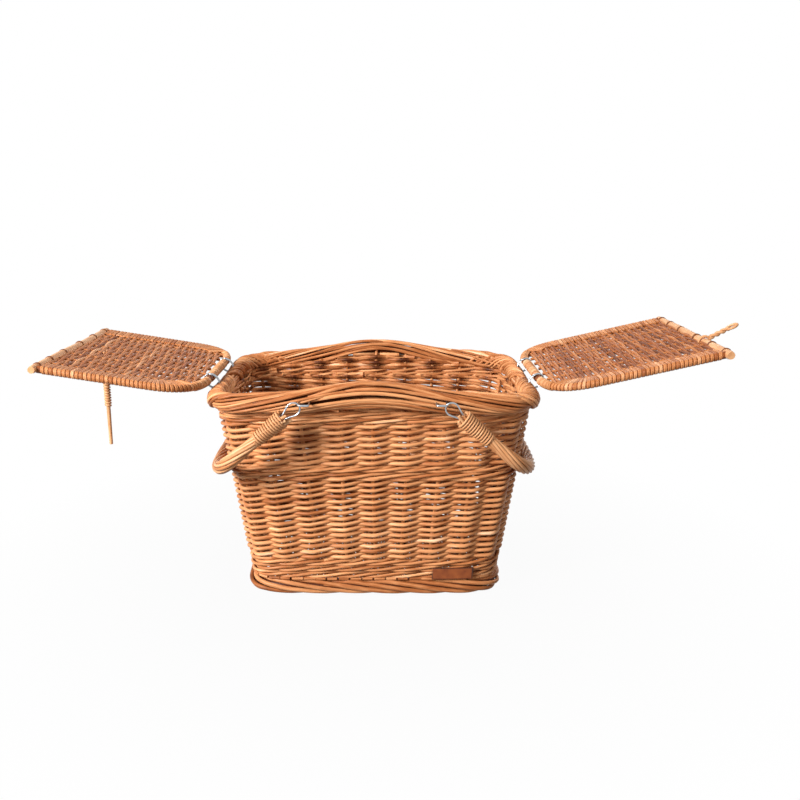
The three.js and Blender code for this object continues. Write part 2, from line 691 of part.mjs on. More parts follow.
// Thickness of the grip: flared cut end, drawn in by the whipping, full rope beyond it.
function gripDiameter(u) {
  const run = Math.min(u, 1 - u) * gripLength;
  const whipRun = whipEnd - GRIP_END;
  if (run <= whipRun) return THREE.MathUtils.lerp(GRIP_FLARE, GRIP_WAIST, run / whipRun);
  const swell = THREE.MathUtils.smoothstep(run, whipRun + GAP, whipRun + GRIP);
  return THREE.MathUtils.lerp(GRIP_WAIST, GRIP, swell);
}

function gripSection(u) {
  const run = Math.min(u, 1 - u) * gripLength;
  const shown = THREE.MathUtils.smoothstep(run, whipEnd - GRIP_END, whipEnd - GRIP_END + GRIP);
  return ropeSection(gripDiameter(u), GRIP_STRANDS, (shown * GRIP_RELIEF) / 2, 2 * Math.PI * GRIP_TURNS * u);
}

function whipping() {
  const flats = Math.cos(Math.PI / WHIP_SIDES);
  const start = (GRIP_FLARE + 2 * GAP) / flats;
  const finish = (GRIP_WAIST + 2 * GAP) / flats;
  const bore = (z) => THREE.MathUtils.lerp(start, finish, (z + WHIP_START - GRIP_END) / (whipEnd - GRIP_END));
  const outer = Array.from({ length: 2 * WHIP_TURNS + 1 }, (_, i) => {
    const z = (WHIP_LENGTH * i) / (2 * WHIP_TURNS);
    return new THREE.Vector2(bore(z) / 2 + WHIP_SKEIN * (0.7 + 0.3 * (i % 2)), z);
  });
  const inner = [WHIP_LENGTH, 0].map((z) => new THREE.Vector2(bore(z) / 2, z));
  return new THREE.LatheGeometry([...outer, ...inner, outer[0].clone()], WHIP_SIDES)
    .rotateZ(-Math.PI / 2)
    .translate(WHIP_START, 0, 0);
}

// Wire loop: round at the pin, narrowing to two legs buried in the cut end of the grip.
const loopBack = -(STAPLE_WIRE / 2 + GAP + LOOP_WIRE / 2);
const loopCurve = (() => {
  const wide = (LOOP_WIDTH - LOOP_WIRE) / 2;
  const half = [
    [LOOP_TAIL, LOOP_NECK / 2],
    [GRIP_END + LOOP_WIRE / 2, LOOP_NECK / 2],
    [GRIP_END - LOOP_WIRE / 2, LOOP_NECK / 2],
    [LOOP_WIDTH, wide * 0.75],
    [LOOP_WIDTH / 2, wide],
    [LOOP_WIRE / 2, wide * 0.75],
  ];
  const back = half.map(([x, z]) => [x, -z]).reverse();
  const points = [...half, [loopBack, 0], ...back];
  return new THREE.CatmullRomCurve3(points.map(([x, z]) => new THREE.Vector3(x, 0, z)), false, 'centripetal');
})();

function addHandle(end, side) {
  const handle = new THREE.Group();
  handle.position.set(side * pivotReach, 0, pivotHeight);
  handle.rotation.set(0, handleHang, side < 0 ? Math.PI : 0, 'ZYX');
  basket.add(handle);
  const wireHoles = [-legLine, legLine].flatMap((y) => [-1, 1].map((half) => rod(
    [0, y, (half * LOOP_NECK) / 2],
    [LOOP_TAIL + GAP, y, (half * LOOP_NECK) / 2],
    LOOP_WIRE + 2 * GAP,
    6,
  )));
  const rope = sweep(gripCurve, 31, gripSection);
  addPart(handle, `${end}_grip`, cut(rope, wireHoles), PALE_WILLOW);
  [['front', -1], ['back', 1]].forEach(([face, front]) => {
    const y = front * side * legLine;
    addPart(handle, `${end}_whipping_${face}`, whipping().translate(0, y, 0), PALE_WILLOW);
    const wire = sweep(loopCurve, 18, () => circle(LOOP_WIRE, 5)).translate(0, y, 0);
    addPart(handle, `${end}_wire_loop_${face}`, wire, STEEL);
  });
}

addHandle('left', -1);
addHandle('right', 1);

export default basket;
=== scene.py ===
import math

import bpy
import numpy as np
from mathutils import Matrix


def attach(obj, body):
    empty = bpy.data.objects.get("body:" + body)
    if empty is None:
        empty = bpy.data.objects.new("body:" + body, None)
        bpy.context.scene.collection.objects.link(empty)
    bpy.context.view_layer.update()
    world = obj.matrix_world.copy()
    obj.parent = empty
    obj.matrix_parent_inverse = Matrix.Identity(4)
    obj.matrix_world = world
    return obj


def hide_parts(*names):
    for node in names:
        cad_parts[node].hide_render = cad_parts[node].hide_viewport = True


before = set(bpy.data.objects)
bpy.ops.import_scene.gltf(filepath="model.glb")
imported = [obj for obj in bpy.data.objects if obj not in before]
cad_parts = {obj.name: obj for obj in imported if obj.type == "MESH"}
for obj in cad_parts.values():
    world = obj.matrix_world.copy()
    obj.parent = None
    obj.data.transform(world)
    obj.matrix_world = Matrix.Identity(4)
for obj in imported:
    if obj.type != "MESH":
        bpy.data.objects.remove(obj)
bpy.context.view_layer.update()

MM = 0.001
FULL_TURN = 2 * np.pi
ANY_PHASE = 6.28
# Dark tone of the hidden core rods, painted shade seen through the gaps between the rods round
# them; the lid bar ties are darkened with it too.
PAINTED_SHADE_AND_TIE_TONE = -0.2

# Base: long willow sticks side by side, with thin rods randed across them from front to back.
# It lies inside the foot border and is seen through the mouth and from below.
BASE_HALF_LENGTH = 145
BASE_HALF_WIDTH = 92
BASE_CORNER = 7
BASE_HEIGHT = 7.5
BASE_STICKS = 7
BASE_STICK_RADIUS = 2.6
BASE_STICK_INSET = 8
BASE_ROD_RADIUS = 1.8
BASE_ROD_PITCH = 3.9
BASE_ROD_INSET = 4
BASE_ROD_WAVE = 2.6
rng = np.random.default_rng(7)


def srgb(code):
    """Linear RGBA of an sRGB hex colour."""
    parts = [int(code[i:i + 2], 16) / 255 for i in (1, 3, 5)]
    linear = [p / 12.92 if p <= 0.04045 else ((p + 0.055) / 1.055) ** 2.4 for p in parts]
    return (*linear, 1.0)


def add_node(tree, kind, settings=None, links=None):
    """Adds a node, sets its properties and sockets, and links its sockets to outputs."""
    made = tree.nodes.new(kind)
    for name, value in (settings or {}).items():
        if isinstance(name, int) or name in made.inputs:
            made.inputs[name].default_value = value
        else:
            setattr(made, name, value)
    for name, source in (links or {}).items():
        tree.links.new(source, made.inputs[name])
    return made


def new_material(name):
    """An empty material and its node tree."""
    material = bpy.data.materials.new(name)
    material.use_nodes = True
    material.node_tree.nodes.clear()
    return material, material.node_tree


def buff_willow(name, colours, roughness):
    """Boiled and stripped willow: satin skin, streaks down each rod, every rod its own tone, with
    painted shade darkening that tone where the rods set it.
    """
    streak_length, streak_spread = 0.022, 0.9
    grain_length, grain_spread = 0.009, 4.0
    rods_apart = 61.0
    streak_weight = 0.75
    material, tree = new_material(name)
    tone_and_painted_shade = add_node(tree, "ShaderNodeAttribute", {"attribute_name": "tone_and_painted_shade"}).outputs["Fac"]
    along = add_node(tree, "ShaderNodeAttribute", {"attribute_name": "along"}).outputs["Fac"]
    ring = add_node(tree, "ShaderNodeAttribute", {"attribute_name": "ring"}).outputs["Vector"]
    sides = add_node(tree, "ShaderNodeSeparateXYZ", links={"Vector": ring}).outputs
    apart = add_node(tree, "ShaderNodeMath", {"operation": "MULTIPLY", 1: rods_apart}, {0: tone_and_painted_shade})
    fields = []
    for length, spread in ((streak_length, streak_spread), (grain_length, grain_spread)):
        down = add_node(tree, "ShaderNodeMath", {"operation": "MULTIPLY_ADD", 1: 1 / length},
                        {0: along, 2: apart.outputs[0]})
        across = [add_node(tree, "ShaderNodeMath", {"operation": "MULTIPLY", 1: spread},
                           {0: sides[axis]}) for axis in ("X", "Y")]
        place = add_node(tree, "ShaderNodeCombineXYZ", links={
            "X": down.outputs[0], "Y": across[0].outputs[0], "Z": across[1].outputs[0]})
        fields.append(add_node(tree, "ShaderNodeTexNoise", {"Scale": 1.0, "Detail": 3.0},
                               {"Vector": place.outputs[0]}).outputs["Fac"])
    streak, grain = fields
    mixed = add_node(tree, "ShaderNodeMath", {"operation": "MULTIPLY_ADD", 1: streak_weight},
                     {0: streak, 2: tone_and_painted_shade})
    shade = add_node(tree, "ShaderNodeMath", {"operation": "SUBTRACT", 1: streak_weight / 2},
                     {0: mixed.outputs[0]})
    ramp = add_node(tree, "ShaderNodeValToRGB", links={"Fac": shade.outputs[0]})
    stops = ramp.color_ramp.elements
    while len(stops) < len(colours):
        stops.new(0.5)
    for i, code in enumerate(colours):
        stops[i].position = i / (len(colours) - 1)
        stops[i].color = srgb(code)
    gloss = add_node(tree, "ShaderNodeMapRange",
                     {"To Min": roughness - 0.1, "To Max": roughness + 0.12}, {"Value": grain})
    bump = add_node(tree, "ShaderNodeBump", {"Strength": 0.35, "Distance": 0.0004},
                    {"Height": grain})
    surface = add_node(tree, "ShaderNodeBsdfPrincipled", {"IOR": 1.45, "Specular IOR Level": 0.2}, {
        "Base Color": ramp.outputs["Color"], "Roughness": gloss.outputs[0],
        "Normal": bump.outputs[0]})
    add_node(tree, "ShaderNodeOutputMaterial", links={"Surface": surface.outputs[0]})
    return material


# The tree turns paths of points into round rods with closed ends.
rod_tree = bpy.data.node_groups.new("rods_along_paths", "GeometryNodeTree")
rod_sockets = {}
for label, kind in (("Paths", "NodeSocketGeometry"), ("Sides", "NodeSocketInt"),
                    ("Finish", "NodeSocketMaterial")):
    rod_socket = rod_tree.interface.new_socket(label, in_out="INPUT", socket_type=kind)
    rod_sockets[label] = rod_socket.identifier
rod_tree.interface.new_socket("Rods", in_out="OUTPUT", socket_type="NodeSocketGeometry")
rod_in = add_node(rod_tree, "NodeGroupInput").outputs
rod_lines = add_node(rod_tree, "GeometryNodeMeshToCurve", links={"Mesh": rod_in["Paths"]})
rod_size = add_node(rod_tree, "GeometryNodeInputNamedAttribute", {"Name": "rod_radius"})
rod_thick = add_node(rod_tree, "GeometryNodeSetCurveRadius", links={
    "Curve": rod_lines.outputs[0], "Radius": rod_size.outputs["Attribute"]})
rod_round = add_node(rod_tree, "GeometryNodeCurvePrimitiveCircle", {"Radius": 1.0},
                     {"Resolution": rod_in["Sides"]})
rod_place = add_node(rod_tree, "GeometryNodeInputPosition")
rod_ring = add_node(rod_tree, "GeometryNodeStoreNamedAttribute", {
    "data_type": "FLOAT_VECTOR", "domain": "POINT", "Name": "ring"}, {
    "Geometry": rod_round.outputs["Curve"], "Value": rod_place.outputs[0]})
rod_skin = add_node(rod_tree, "GeometryNodeCurveToMesh", {"Fill Caps": True}, {
    "Curve": rod_thick.outputs[0], "Profile Curve": rod_ring.outputs[0],
    "Scale": rod_size.outputs["Attribute"]})
rod_soft = add_node(rod_tree, "GeometryNodeSetShadeSmooth",
                    links={"Geometry": rod_skin.outputs[0]})
rod_real = add_node(rod_tree, "GeometryNodeRealizeInstances",
                    links={"Geometry": rod_soft.outputs[0]})
rod_coat = add_node(rod_tree, "GeometryNodeSetMaterial", links={
    "Geometry": rod_real.outputs[0], "Material": rod_in["Finish"]})
add_node(rod_tree, "NodeGroupOutput", links={"Rods": rod_coat.outputs[0]})


def path(x, y, z):
    """Points of a line, from coordinates that may be single numbers."""
    return np.column_stack(np.broadcast_arrays(x, y, z))


def run_along(line):
    """Distance of each point from the start of its line."""
    return np.r_[0, np.cumsum(np.linalg.norm(np.diff(line, axis=0), axis=1))]


def lay_rods(name, rods, sides, finish, body, nodes=()):
    """One piece from rods of (points in mm, radius in mm, tone from dark 0 to light 1, painted
    shade included).
    """
    lines = [points for points, _, _ in rods]
    counts = [len(points) for points in lines]
    starts = np.cumsum([0] + counts[:-1])
    edges = np.vstack([np.c_[np.arange(n - 1), np.arange(1, n)] + start
                       for n, start in zip(counts, starts)])
    paths = bpy.data.meshes.new(name)
    paths.from_pydata((np.vstack(lines) * MM).tolist(), edges.tolist(), [])
    # The tone of each point also carries painted shade where a rod is darkened.
    for label, values in (
        ("rod_radius", [np.broadcast_to(size, n) * MM for (_, size, _), n in zip(rods, counts)]),
        ("tone_and_painted_shade", [np.broadcast_to(shade, n) for (_, _, shade), n in zip(rods, counts)]),
        ("along", [run_along(points) * MM for points in lines]),
    ):
        layer = paths.attributes.new(label, "FLOAT", "POINT")
        layer.data.foreach_set("value", np.concatenate(values).astype(np.float32))
    piece = bpy.data.objects.new(name, paths)
    bpy.context.scene.collection.objects.link(piece)
    modifier = piece.modifiers.new("rods", "NODES")
    modifier.node_group = rod_tree
    modifier[rod_sockets["Sides"]] = sides
    modifier[rod_sockets["Finish"]] = finish
    evaluated = piece.evaluated_get(bpy.context.evaluated_depsgraph_get())
    made = bpy.data.meshes.new_from_object(evaluated)
    piece.modifiers.clear()
    piece.data = made
    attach(piece, body)
    if nodes:
        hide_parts(*nodes)
    return piece


def tone():
    """Tone of one rod: most lie near the middle of the range."""
    return float(np.clip(rng.normal(0.5, 0.1), 0.2, 0.8))


body_willow = buff_willow("body_buff_willow", ("#451e0a", "#a26035", "#d79866", "#f8d6b4"), 0.42)
base_rods = []
stick_gap = 2 * (BASE_HALF_WIDTH - BASE_STICK_INSET) / (BASE_STICKS - 1)
for y in (np.arange(BASE_STICKS) - (BASE_STICKS - 1) / 2) * stick_gap:
    x = np.linspace(-BASE_HALF_LENGTH, BASE_HALF_LENGTH, 24)
    base_rods.append((path(x, y, BASE_HEIGHT), BASE_STICK_RADIUS, tone()))
base_rows = int(2 * (BASE_HALF_LENGTH - BASE_ROD_INSET) / BASE_ROD_PITCH)
for row in range(base_rows):
    x = (row - (base_rows - 1) / 2) * BASE_ROD_PITCH
    corner = (abs(x) / (BASE_HALF_LENGTH + 1)) ** BASE_CORNER
    reach = BASE_HALF_WIDTH * (1 - corner) ** (1 / BASE_CORNER)
    y = np.linspace(-reach, reach, 61)
    lift = BASE_ROD_WAVE * np.cos(np.pi * (y / stick_gap + row))
    base_rods.append((path(x, y, BASE_HEIGHT + lift), BASE_ROD_RADIUS, tone()))
lay_rods("base_rods", base_rods, 8, body_willow, "basket", ["base_panel"])

# Stakes: the uprights of the wall, set about 40 mm apart round the flared plan.
# They run from the foot border up into the rim, and the weavers bend in front of and behind them.
STAKES = 28
STAKE_RADIUS = 2.3
STAKE_FOOT = 8
STAKE_TUCK = 2
STAKE_LEAN = 0.04
STAKE_LEAN_LENGTH = 60
STAKE_STRAY = 0.06
# The stakes are toned a little darker as painted shade, where they show in the gaps between the
# weavers.
STAKE_PAINTED_SHADE = -0.05
PLAN_POWER = 7
PLAN_HALF = (173, 120)
WALL_FOOT = (157, 104)
WALL_TOP = (190, 136)
WALL_FOOT_HEIGHT = 19.5
WALL_TOP_HEIGHT = 245
WALL_MIDDLE = -5.6
RIM_HEIGHT = 252.5
RIM_ARCH = 16.7
RIM_ARCH_POWER = 5
RIM_SHOULDER = 2
RIM_SHOULDER_END = 0.88
RIM_SHOULDER_SKEW = 1.6
RIM_END_DIP = 4.5
RIM_END_POWER = 8
LAPS = range(-1, 4)
turn = np.linspace(0, FULL_TURN, 14401)
reach = (np.abs(np.cos(turn)) ** PLAN_POWER
         + np.abs(np.sin(turn)) ** PLAN_POWER) ** (-1 / PLAN_POWER)
plan_x = reach * np.cos(turn)
plan_y = reach * np.sin(turn)
plan_run = run_along(np.c_[plan_x * PLAN_HALF[0], plan_y * PLAN_HALF[1]])
stake_share = plan_run / plan_run[-1] * STAKES


def plan_unit(stake):
    """Place on the unit plan of a distance round the basket, counted in stakes."""
    place = np.mod(stake, STAKES)
    return np.interp(place, stake_share, plan_x), np.interp(place, stake_share, plan_y)


def wall(stake, height, offset, seat=None):
    """Points of the wall's outer face at a height, moved out by an offset."""
    x, y = plan_unit(stake)
    level = height if seat is None else seat
    flare = (level - WALL_FOOT_HEIGHT) / (WALL_TOP_HEIGHT - WALL_FOOT_HEIGHT)
    half_length, half_width = (low + (high - low) * flare + offset
                               for low, high in zip(WALL_FOOT, WALL_TOP))
    return path(half_length * x, half_width * y, height)


def rim_arch(stake):
    """Rise of the rim over the middle of the long sides, with a low shoulder beside it."""
    x, _ = plan_unit(stake)
    share = np.minimum(np.abs(x) / RIM_SHOULDER_END, 1)
    shoulder = np.sin(np.pi * share ** RIM_SHOULDER_SKEW)
    return RIM_ARCH * np.cos(np.pi / 2 * x) ** RIM_ARCH_POWER + RIM_SHOULDER * shoulder


def rim_height(stake):
    """Centre of the rim border: arched over the long sides, dipped at the hinges."""
    x, y = plan_unit(stake)
    dip = RIM_END_DIP * np.cos(np.pi / 2 * y) ** 2 * np.abs(x) ** RIM_END_POWER
    return RIM_HEIGHT + rim_arch(stake) - dip


stake_at = np.arange(STAKES) + rng.uniform(-STAKE_STRAY, STAKE_STRAY, STAKES)
stake_marks = np.concatenate([stake_at + STAKES * lap for lap in LAPS])
stake_count = np.concatenate([np.arange(STAKES) + STAKES * lap for lap in LAPS])


def passed(stake):
    """How many stakes lie behind a point, so that a weaver's bends meet the stakes."""
    return np.interp(stake, stake_marks, stake_count)


stake_rods = []
for stake in stake_at:
    z = np.linspace(STAKE_FOOT, rim_height(stake) - STAKE_TUCK, 26)
    lean = STAKE_LEAN * np.sin(z / STAKE_LEAN_LENGTH + rng.uniform(0, ANY_PHASE))
    stake_rods.append((wall(stake + lean, z, WALL_MIDDLE), STAKE_RADIUS, tone() + STAKE_PAINTED_SHADE))
lay_rods("stakes", stake_rods, 8, body_willow, "basket")

# Foot border: the stakes' butts turned down and twisted into one rope round the base.
# The basket stands on it, and a row of short cut ends shows just above it.
FOOT_HALF = (152.5, 99.5)
FOOT_RADIUS = 10
FOOT_SINK = 0.4
FOOT_STRANDS = 6
FOOT_STRAND_RADIUS = 2.9
FOOT_TURNS = 22 / 6
FOOT_RODS = 4
FOOT_OVERLAP = (0.8, 1.2)
FOOT_TUCK = 0.9
FOOT_TUCK_DEPTH = 0.45
FOOT_TONE = -0.1
FOOT_CORE_RADIUS = 5.5
CUT_END_LENGTH = 0.42
CUT_END_HEIGHT = 20.5
CUT_END_OFFSET = -1.5
CUT_END_RADIUS = 2.0
CUT_END_TONE = -0.08


def from_ends(s, run):
    """0 at both ends of a rod, rising to 1 over a run of stakes."""
    return np.clip(np.minimum(s - s[0], s[-1] - s) / run, 0, 1)


def tucked(s, run, depth):
    """Share of its full reach at which a rod lies, with its ends tucked in to a depth."""
    return depth + (1 - depth) * np.sin(from_ends(s, run) * np.pi / 2)


foot_rods = []
for strand in range(FOOT_STRANDS):
    for part in range(FOOT_RODS):
        begin = (part + rng.uniform(-0.15, 0.15)) * STAKES / FOOT_RODS
        s = np.linspace(begin - FOOT_OVERLAP[0], begin + STAKES / FOOT_RODS + FOOT_OVERLAP[1], 150)
        x, y = plan_unit(s)
        angle = -FULL_TURN * (FOOT_TURNS * s / STAKES + strand / FOOT_STRANDS)
        out = (FOOT_RADIUS - FOOT_STRAND_RADIUS) * tucked(s, FOOT_TUCK, FOOT_TUCK_DEPTH)
        z = np.maximum(FOOT_RADIUS - FOOT_SINK + out * np.sin(angle), FOOT_STRAND_RADIUS)
        swing = out * np.cos(angle)
        points = path((FOOT_HALF[0] + swing) * x, (FOOT_HALF[1] + swing) * y, z)
        thick = FOOT_STRAND_RADIUS * np.linspace(1.05, 0.8, 150)
        foot_rods.append((points, thick, tone() + FOOT_TONE))
# A core rod inside the rope, its dark tone painted shade between the strands.
core_x, core_y = plan_unit(np.linspace(0, STAKES, 241))
core = path(FOOT_HALF[0] * core_x, FOOT_HALF[1] * core_y, FOOT_RADIUS)
foot_rods.append((core, FOOT_CORE_RADIUS, PAINTED_SHADE_AND_TIE_TONE))
for begin in np.arange(0, STAKES, CUT_END_LENGTH):
    s = np.linspace(begin, begin + CUT_END_LENGTH * rng.uniform(0.8, 0.98), 5)
    points = wall(s, CUT_END_HEIGHT + rng.uniform(-0.4, 0.4), CUT_END_OFFSET)
    foot_rods.append((points, CUT_END_RADIUS, tone() + CUT_END_TONE))
lay_rods("foot_border_rods", foot_rods, 9, body_willow, "basket", ["foot_border"])

# Wales: bands of three rods worked together, each over two stakes and behind the third.
# They lock the bottom, the middle and the top of the wall. Each is a low edge, rounds and a pitch.
LOWER_WALE = (21.5, 3, 8.8)
MIDDLE_WALE = (157.5, 2, 8.7)
UPPER_WALE = (229, 2, 6.8)
WALE_RODS = 3
WALE_ROD_RADIUS = 1.85
WALE_RISE = 0.34
WALE_OUT = -1.0
WALE_IN = -10.2
WALE_BEND = 0.2
WEAVER_TUCK = 0.7


def drift(stake, size):
    """Slow wander of a hand-worked rod."""
    waves = [(rng.uniform(0.3, 0.6), 1.0), (rng.uniform(0.9, 1.6), 0.6)]
    return size * sum(share * np.sin(stake * rate + rng.uniform(0, ANY_PHASE))
                      for rate, share in waves)


def wale_rows(low, rows, pitch):
    """Rounds of a three-rod wale, lowest first."""
    rods = []
    for row in range(rows):
        begin = rng.uniform(0, STAKES)
        for weaver in range(WALE_RODS):
            for half in range(2):
                first = begin + half * STAKES / 2 - 0.5
                s = np.linspace(first, first + STAKES / 2 + 1, 150)
                step = (passed(s) + weaver + row) / WALE_RODS
                behind = step - np.round(step)
                offset = WALE_OUT + (WALE_IN - WALE_OUT) * np.exp(-(behind / WALE_BEND) ** 2)
                offset = WALE_IN + (offset - WALE_IN) * from_ends(s, WEAVER_TUCK)
                rise = -WALE_RISE * pitch * np.sin(FULL_TURN * step)
                z = low + (row + 0.5) * pitch + rise + drift(s, 0.3)
                thick = WALE_ROD_RADIUS * np.linspace(1.08, 0.9, 150)
                rods.append((wall(s, z, offset), thick, tone()))
    return rods


lay_rods("lower_wale_rods", wale_rows(*LOWER_WALE), 8, body_willow, "basket",
         ["lower_wale"])
lay_rods("middle_wale_rods", wale_rows(*MIDDLE_WALE), 8, body_willow, "basket",
         ["middle_wale"])

# Randed bands: rods worked in front of one stake and behind the next, climbing to the right.
# Each band is a low edge, a high edge and rows.
# Above the upper wale short packing rows fill the arch of the long sides.
LOWER_WEAVE = (45, 162, 31)
UPPER_WEAVE = (171, 234, 16)
RAND_OUT = -0.3
RAND_IN = -11.3
RAND_FILL = 0.63
RAND_DIP = 0.7
RAND_SHARPNESS = 0.985
RAND_OVERRUN = 0.4
RAND_STEPS = 12
# Where a weaver runs deep behind a stake its tone is darkened: painted shade in the gaps and on the
# inside of the wall.
RAND_DEEP_SHADE_FROM = 0.4
RAND_DEEP_PAINTED_SHADE = -0.75
PACKING_ROWS = 8
PACKING_HEIGHT = 242
PACKING_PITCH = 3.9
PACKING_CLEAR = 5
PACKING_SHORTEST = 60


def randed(s, height, row, radius):
    """One weaver over a run of stakes, tucked in at its ends, its tone darkened by painted shade
    where it runs deep behind the stakes.
    """
    swing = np.cos(np.pi * (passed(s) + row))
    bend = np.arcsin(RAND_SHARPNESS * swing) / math.asin(RAND_SHARPNESS)
    ends = from_ends(s, WEAVER_TUCK)
    offset = (RAND_OUT + RAND_IN) / 2 + (RAND_OUT - RAND_IN) / 2 * bend
    offset = RAND_IN + (offset - RAND_IN) * ends
    taper = np.linspace(1.07, 0.92, len(s)) * (1 + drift(s, 0.04))
    deep_painted_shade = np.clip(-bend - RAND_DEEP_SHADE_FROM, 0, 1) * RAND_DEEP_PAINTED_SHADE
    z = height - RAND_DIP * bend * ends + drift(s, 0.25)
    return wall(s, z, offset), radius * taper, tone() + deep_painted_shade


def rand_band(low, high, rows):
    """A French rand: a rod to every stake, all climbing together by one row at each stake."""
    pitch = (high - low) / rows
    rods = []
    for rod in range(STAKES):
        s = rod + np.linspace(-RAND_OVERRUN, rows + RAND_OVERRUN, RAND_STEPS * rows)
        climb = low + pitch * np.clip(s - rod, 0, rows)
        rods.append(randed(s, climb, rod, pitch * RAND_FILL))
    return rods


lay_rods("lower_weave_rods", rand_band(*LOWER_WEAVE), 8, body_willow, "basket",
         ["lower_weave"])
lay_rods("upper_weave_rods", rand_band(*UPPER_WEAVE), 8, body_willow, "basket",
         ["upper_weave"])
upper_rods = wale_rows(*UPPER_WALE)
round_run = np.linspace(0, STAKES, 1441)
for row in range(PACKING_ROWS):
    z = PACKING_HEIGHT + row * PACKING_PITCH
    clear = rim_height(round_run) - PACKING_CLEAR > z
    for side in (1, -1):
        inside = round_run[clear & (np.sign(plan_unit(round_run)[1]) == side)]
        if len(inside) > PACKING_SHORTEST:
            s = np.linspace(inside[0], inside[-1], 8 * int(inside[-1] - inside[0]) + 20)
            upper_rods.append(randed(s, z, row, PACKING_PITCH * RAND_FILL))
lay_rods("upper_wale_rods", upper_rods, 8, body_willow, "basket", ["upper_wale"])

# Rim border: the stakes' tops and added rods laid over the mouth and rolled into a thick bundle.
# Along the sides the rods climb with the arch, and at the ends others wrap steeply over the rim.
BORDER_HALF = (12.0, 12.5)
BORDER_SEAT = 9.3
BORDER_RODS_ROUND = 20
BORDER_ROD_RADIUS = 1.9
BORDER_ROD_RUN = (6, 10)
BORDER_ROLL = 2.3
BORDER_SPREAD = 0.6
BORDER_TUCK = 1.3
BORDER_TUCK_DEPTH = 0.55
BORDER_TONE = -0.06
BORDER_CORE_RADIUS = 7.0
BORDER_END_SINK = 0.3
BORDER_END_FROM = 0.84
BORDER_END_RUN = 0.12
WRAP_REACH = 3.2
WRAP_SPACING = 0.2
WRAP_RUN = 1.6
WRAP_ROD_RADIUS = 2.1
WRAP_DEPTH = 0.91
WRAP_FROM = -75
WRAP_SWEEP = 290


def border_line(s, angle, depth):
    """Points round the rim's section, at an angle from its outside and a share of its depth."""
    middle = rim_height(s)
    across = (BORDER_HALF[0] - BORDER_ROD_RADIUS) * depth * np.cos(angle)
    rise = (BORDER_HALF[1] - BORDER_ROD_RADIUS) * depth * np.sin(angle)
    droop = BORDER_SPREAD * rim_arch(s) * depth * (1 - np.sin(angle)) / 2
    return wall(s, middle + rise - droop, across, middle - BORDER_SEAT)


border_rods = []
for face, first in ((1, 0), (-1, STAKES / 2)):
    last = first + STAKES / 2
    for strand in range(BORDER_RODS_ROUND):
        start = first - rng.uniform(0.2, 5)
        while start < last:
            stop = start + rng.uniform(*BORDER_ROD_RUN)
            s = np.linspace(max(start, first) - 0.5, min(stop, last) + 0.5, 90)
            start = stop
            x, _ = plan_unit(s)
            roll = -face * BORDER_ROLL * rng.normal(1, 0.1)
            roll = roll * np.cos(np.pi / 2 * np.clip(x, -1, 1))
            angle = FULL_TURN * strand / BORDER_RODS_ROUND + roll + drift(s, 0.14)
            sunk = np.clip((np.abs(x) - BORDER_END_FROM) / BORDER_END_RUN, 0, 1)
            depth = tucked(s, BORDER_TUCK, BORDER_TUCK_DEPTH) * (1 - BORDER_END_SINK * sunk)
            depth = depth * (1 + drift(s, 0.05))
            thick = BORDER_ROD_RADIUS * rng.uniform(0.8, 1.15) * np.linspace(1.1, 0.8, 90)
            border_rods.append((border_line(s, angle, depth), thick, tone() + BORDER_TONE))
# A core rod inside the bundle, its dark tone painted shade between the rods.
core = np.linspace(0, STAKES, 361)
border_rods.append((border_line(core, 0, 0), BORDER_CORE_RADIUS, PAINTED_SHADE_AND_TIE_TONE))
for end_at in (0, STAKES / 2):
    for place in np.arange(-WRAP_REACH, WRAP_REACH, WRAP_SPACING):
        share = np.linspace(0, 1, 30)
        lean = 1 if place > 0 else -1
        s = end_at + place + lean * WRAP_RUN * (share - 0.5) + drift(share * 6, 0.03)
        angle = np.radians(WRAP_FROM + WRAP_SWEEP * share)
        thick = WRAP_ROD_RADIUS * rng.uniform(0.85, 1.1) * np.linspace(1.05, 0.85, 30)
        points = border_line(s, angle, WRAP_DEPTH + rng.uniform(-0.05, 0.05))
        border_rods.append((points, thick, tone()))
lay_rods("rim_border_rods", border_rods, 8, body_willow, "basket", ["rim_border"])

# Leather patch: a strip of brown hide sewn low on the front wall.
# It is bent to the wall, with rounded corners and burnished edges.
PATCH_X = (72, 122)
PATCH_Z = (21.5, 37.5)
PATCH_LEVEL = 29
PATCH_OFFSET = 1.5
PATCH_THICKNESS = 1.6
PATCH_COLUMNS = 40
PATCH_ROWS = 14
PATCH_ROUNDING = 0.5
BURNISH_INNER = 1.4
BURNISH_OUTER = 0.4
HIDE_CELL = 1.1
HIDE_CLOUD = 12
front = np.linspace(0.5 * STAKES, STAKES, 4000)
front_x = wall(front, PATCH_LEVEL, PATCH_OFFSET)[:, 0]
patch_stakes = np.interp(np.linspace(*PATCH_X, PATCH_COLUMNS + 1), front_x, front)
patch_heights = np.linspace(*PATCH_Z, PATCH_ROWS + 1)
patch_points = np.vstack([
    wall(np.full(PATCH_ROWS + 1, stake), patch_heights, PATCH_OFFSET + layer * PATCH_THICKNESS)
    for layer in (0, 1) for stake in patch_stakes])
patch_faces = []


def patch_face(*corners):
    """Adds a face of the patch, each corner given by its layer, column and row."""
    patch_faces.append([(layer * (PATCH_COLUMNS + 1) + column) * (PATCH_ROWS + 1) + row
                        for layer, column, row in corners])


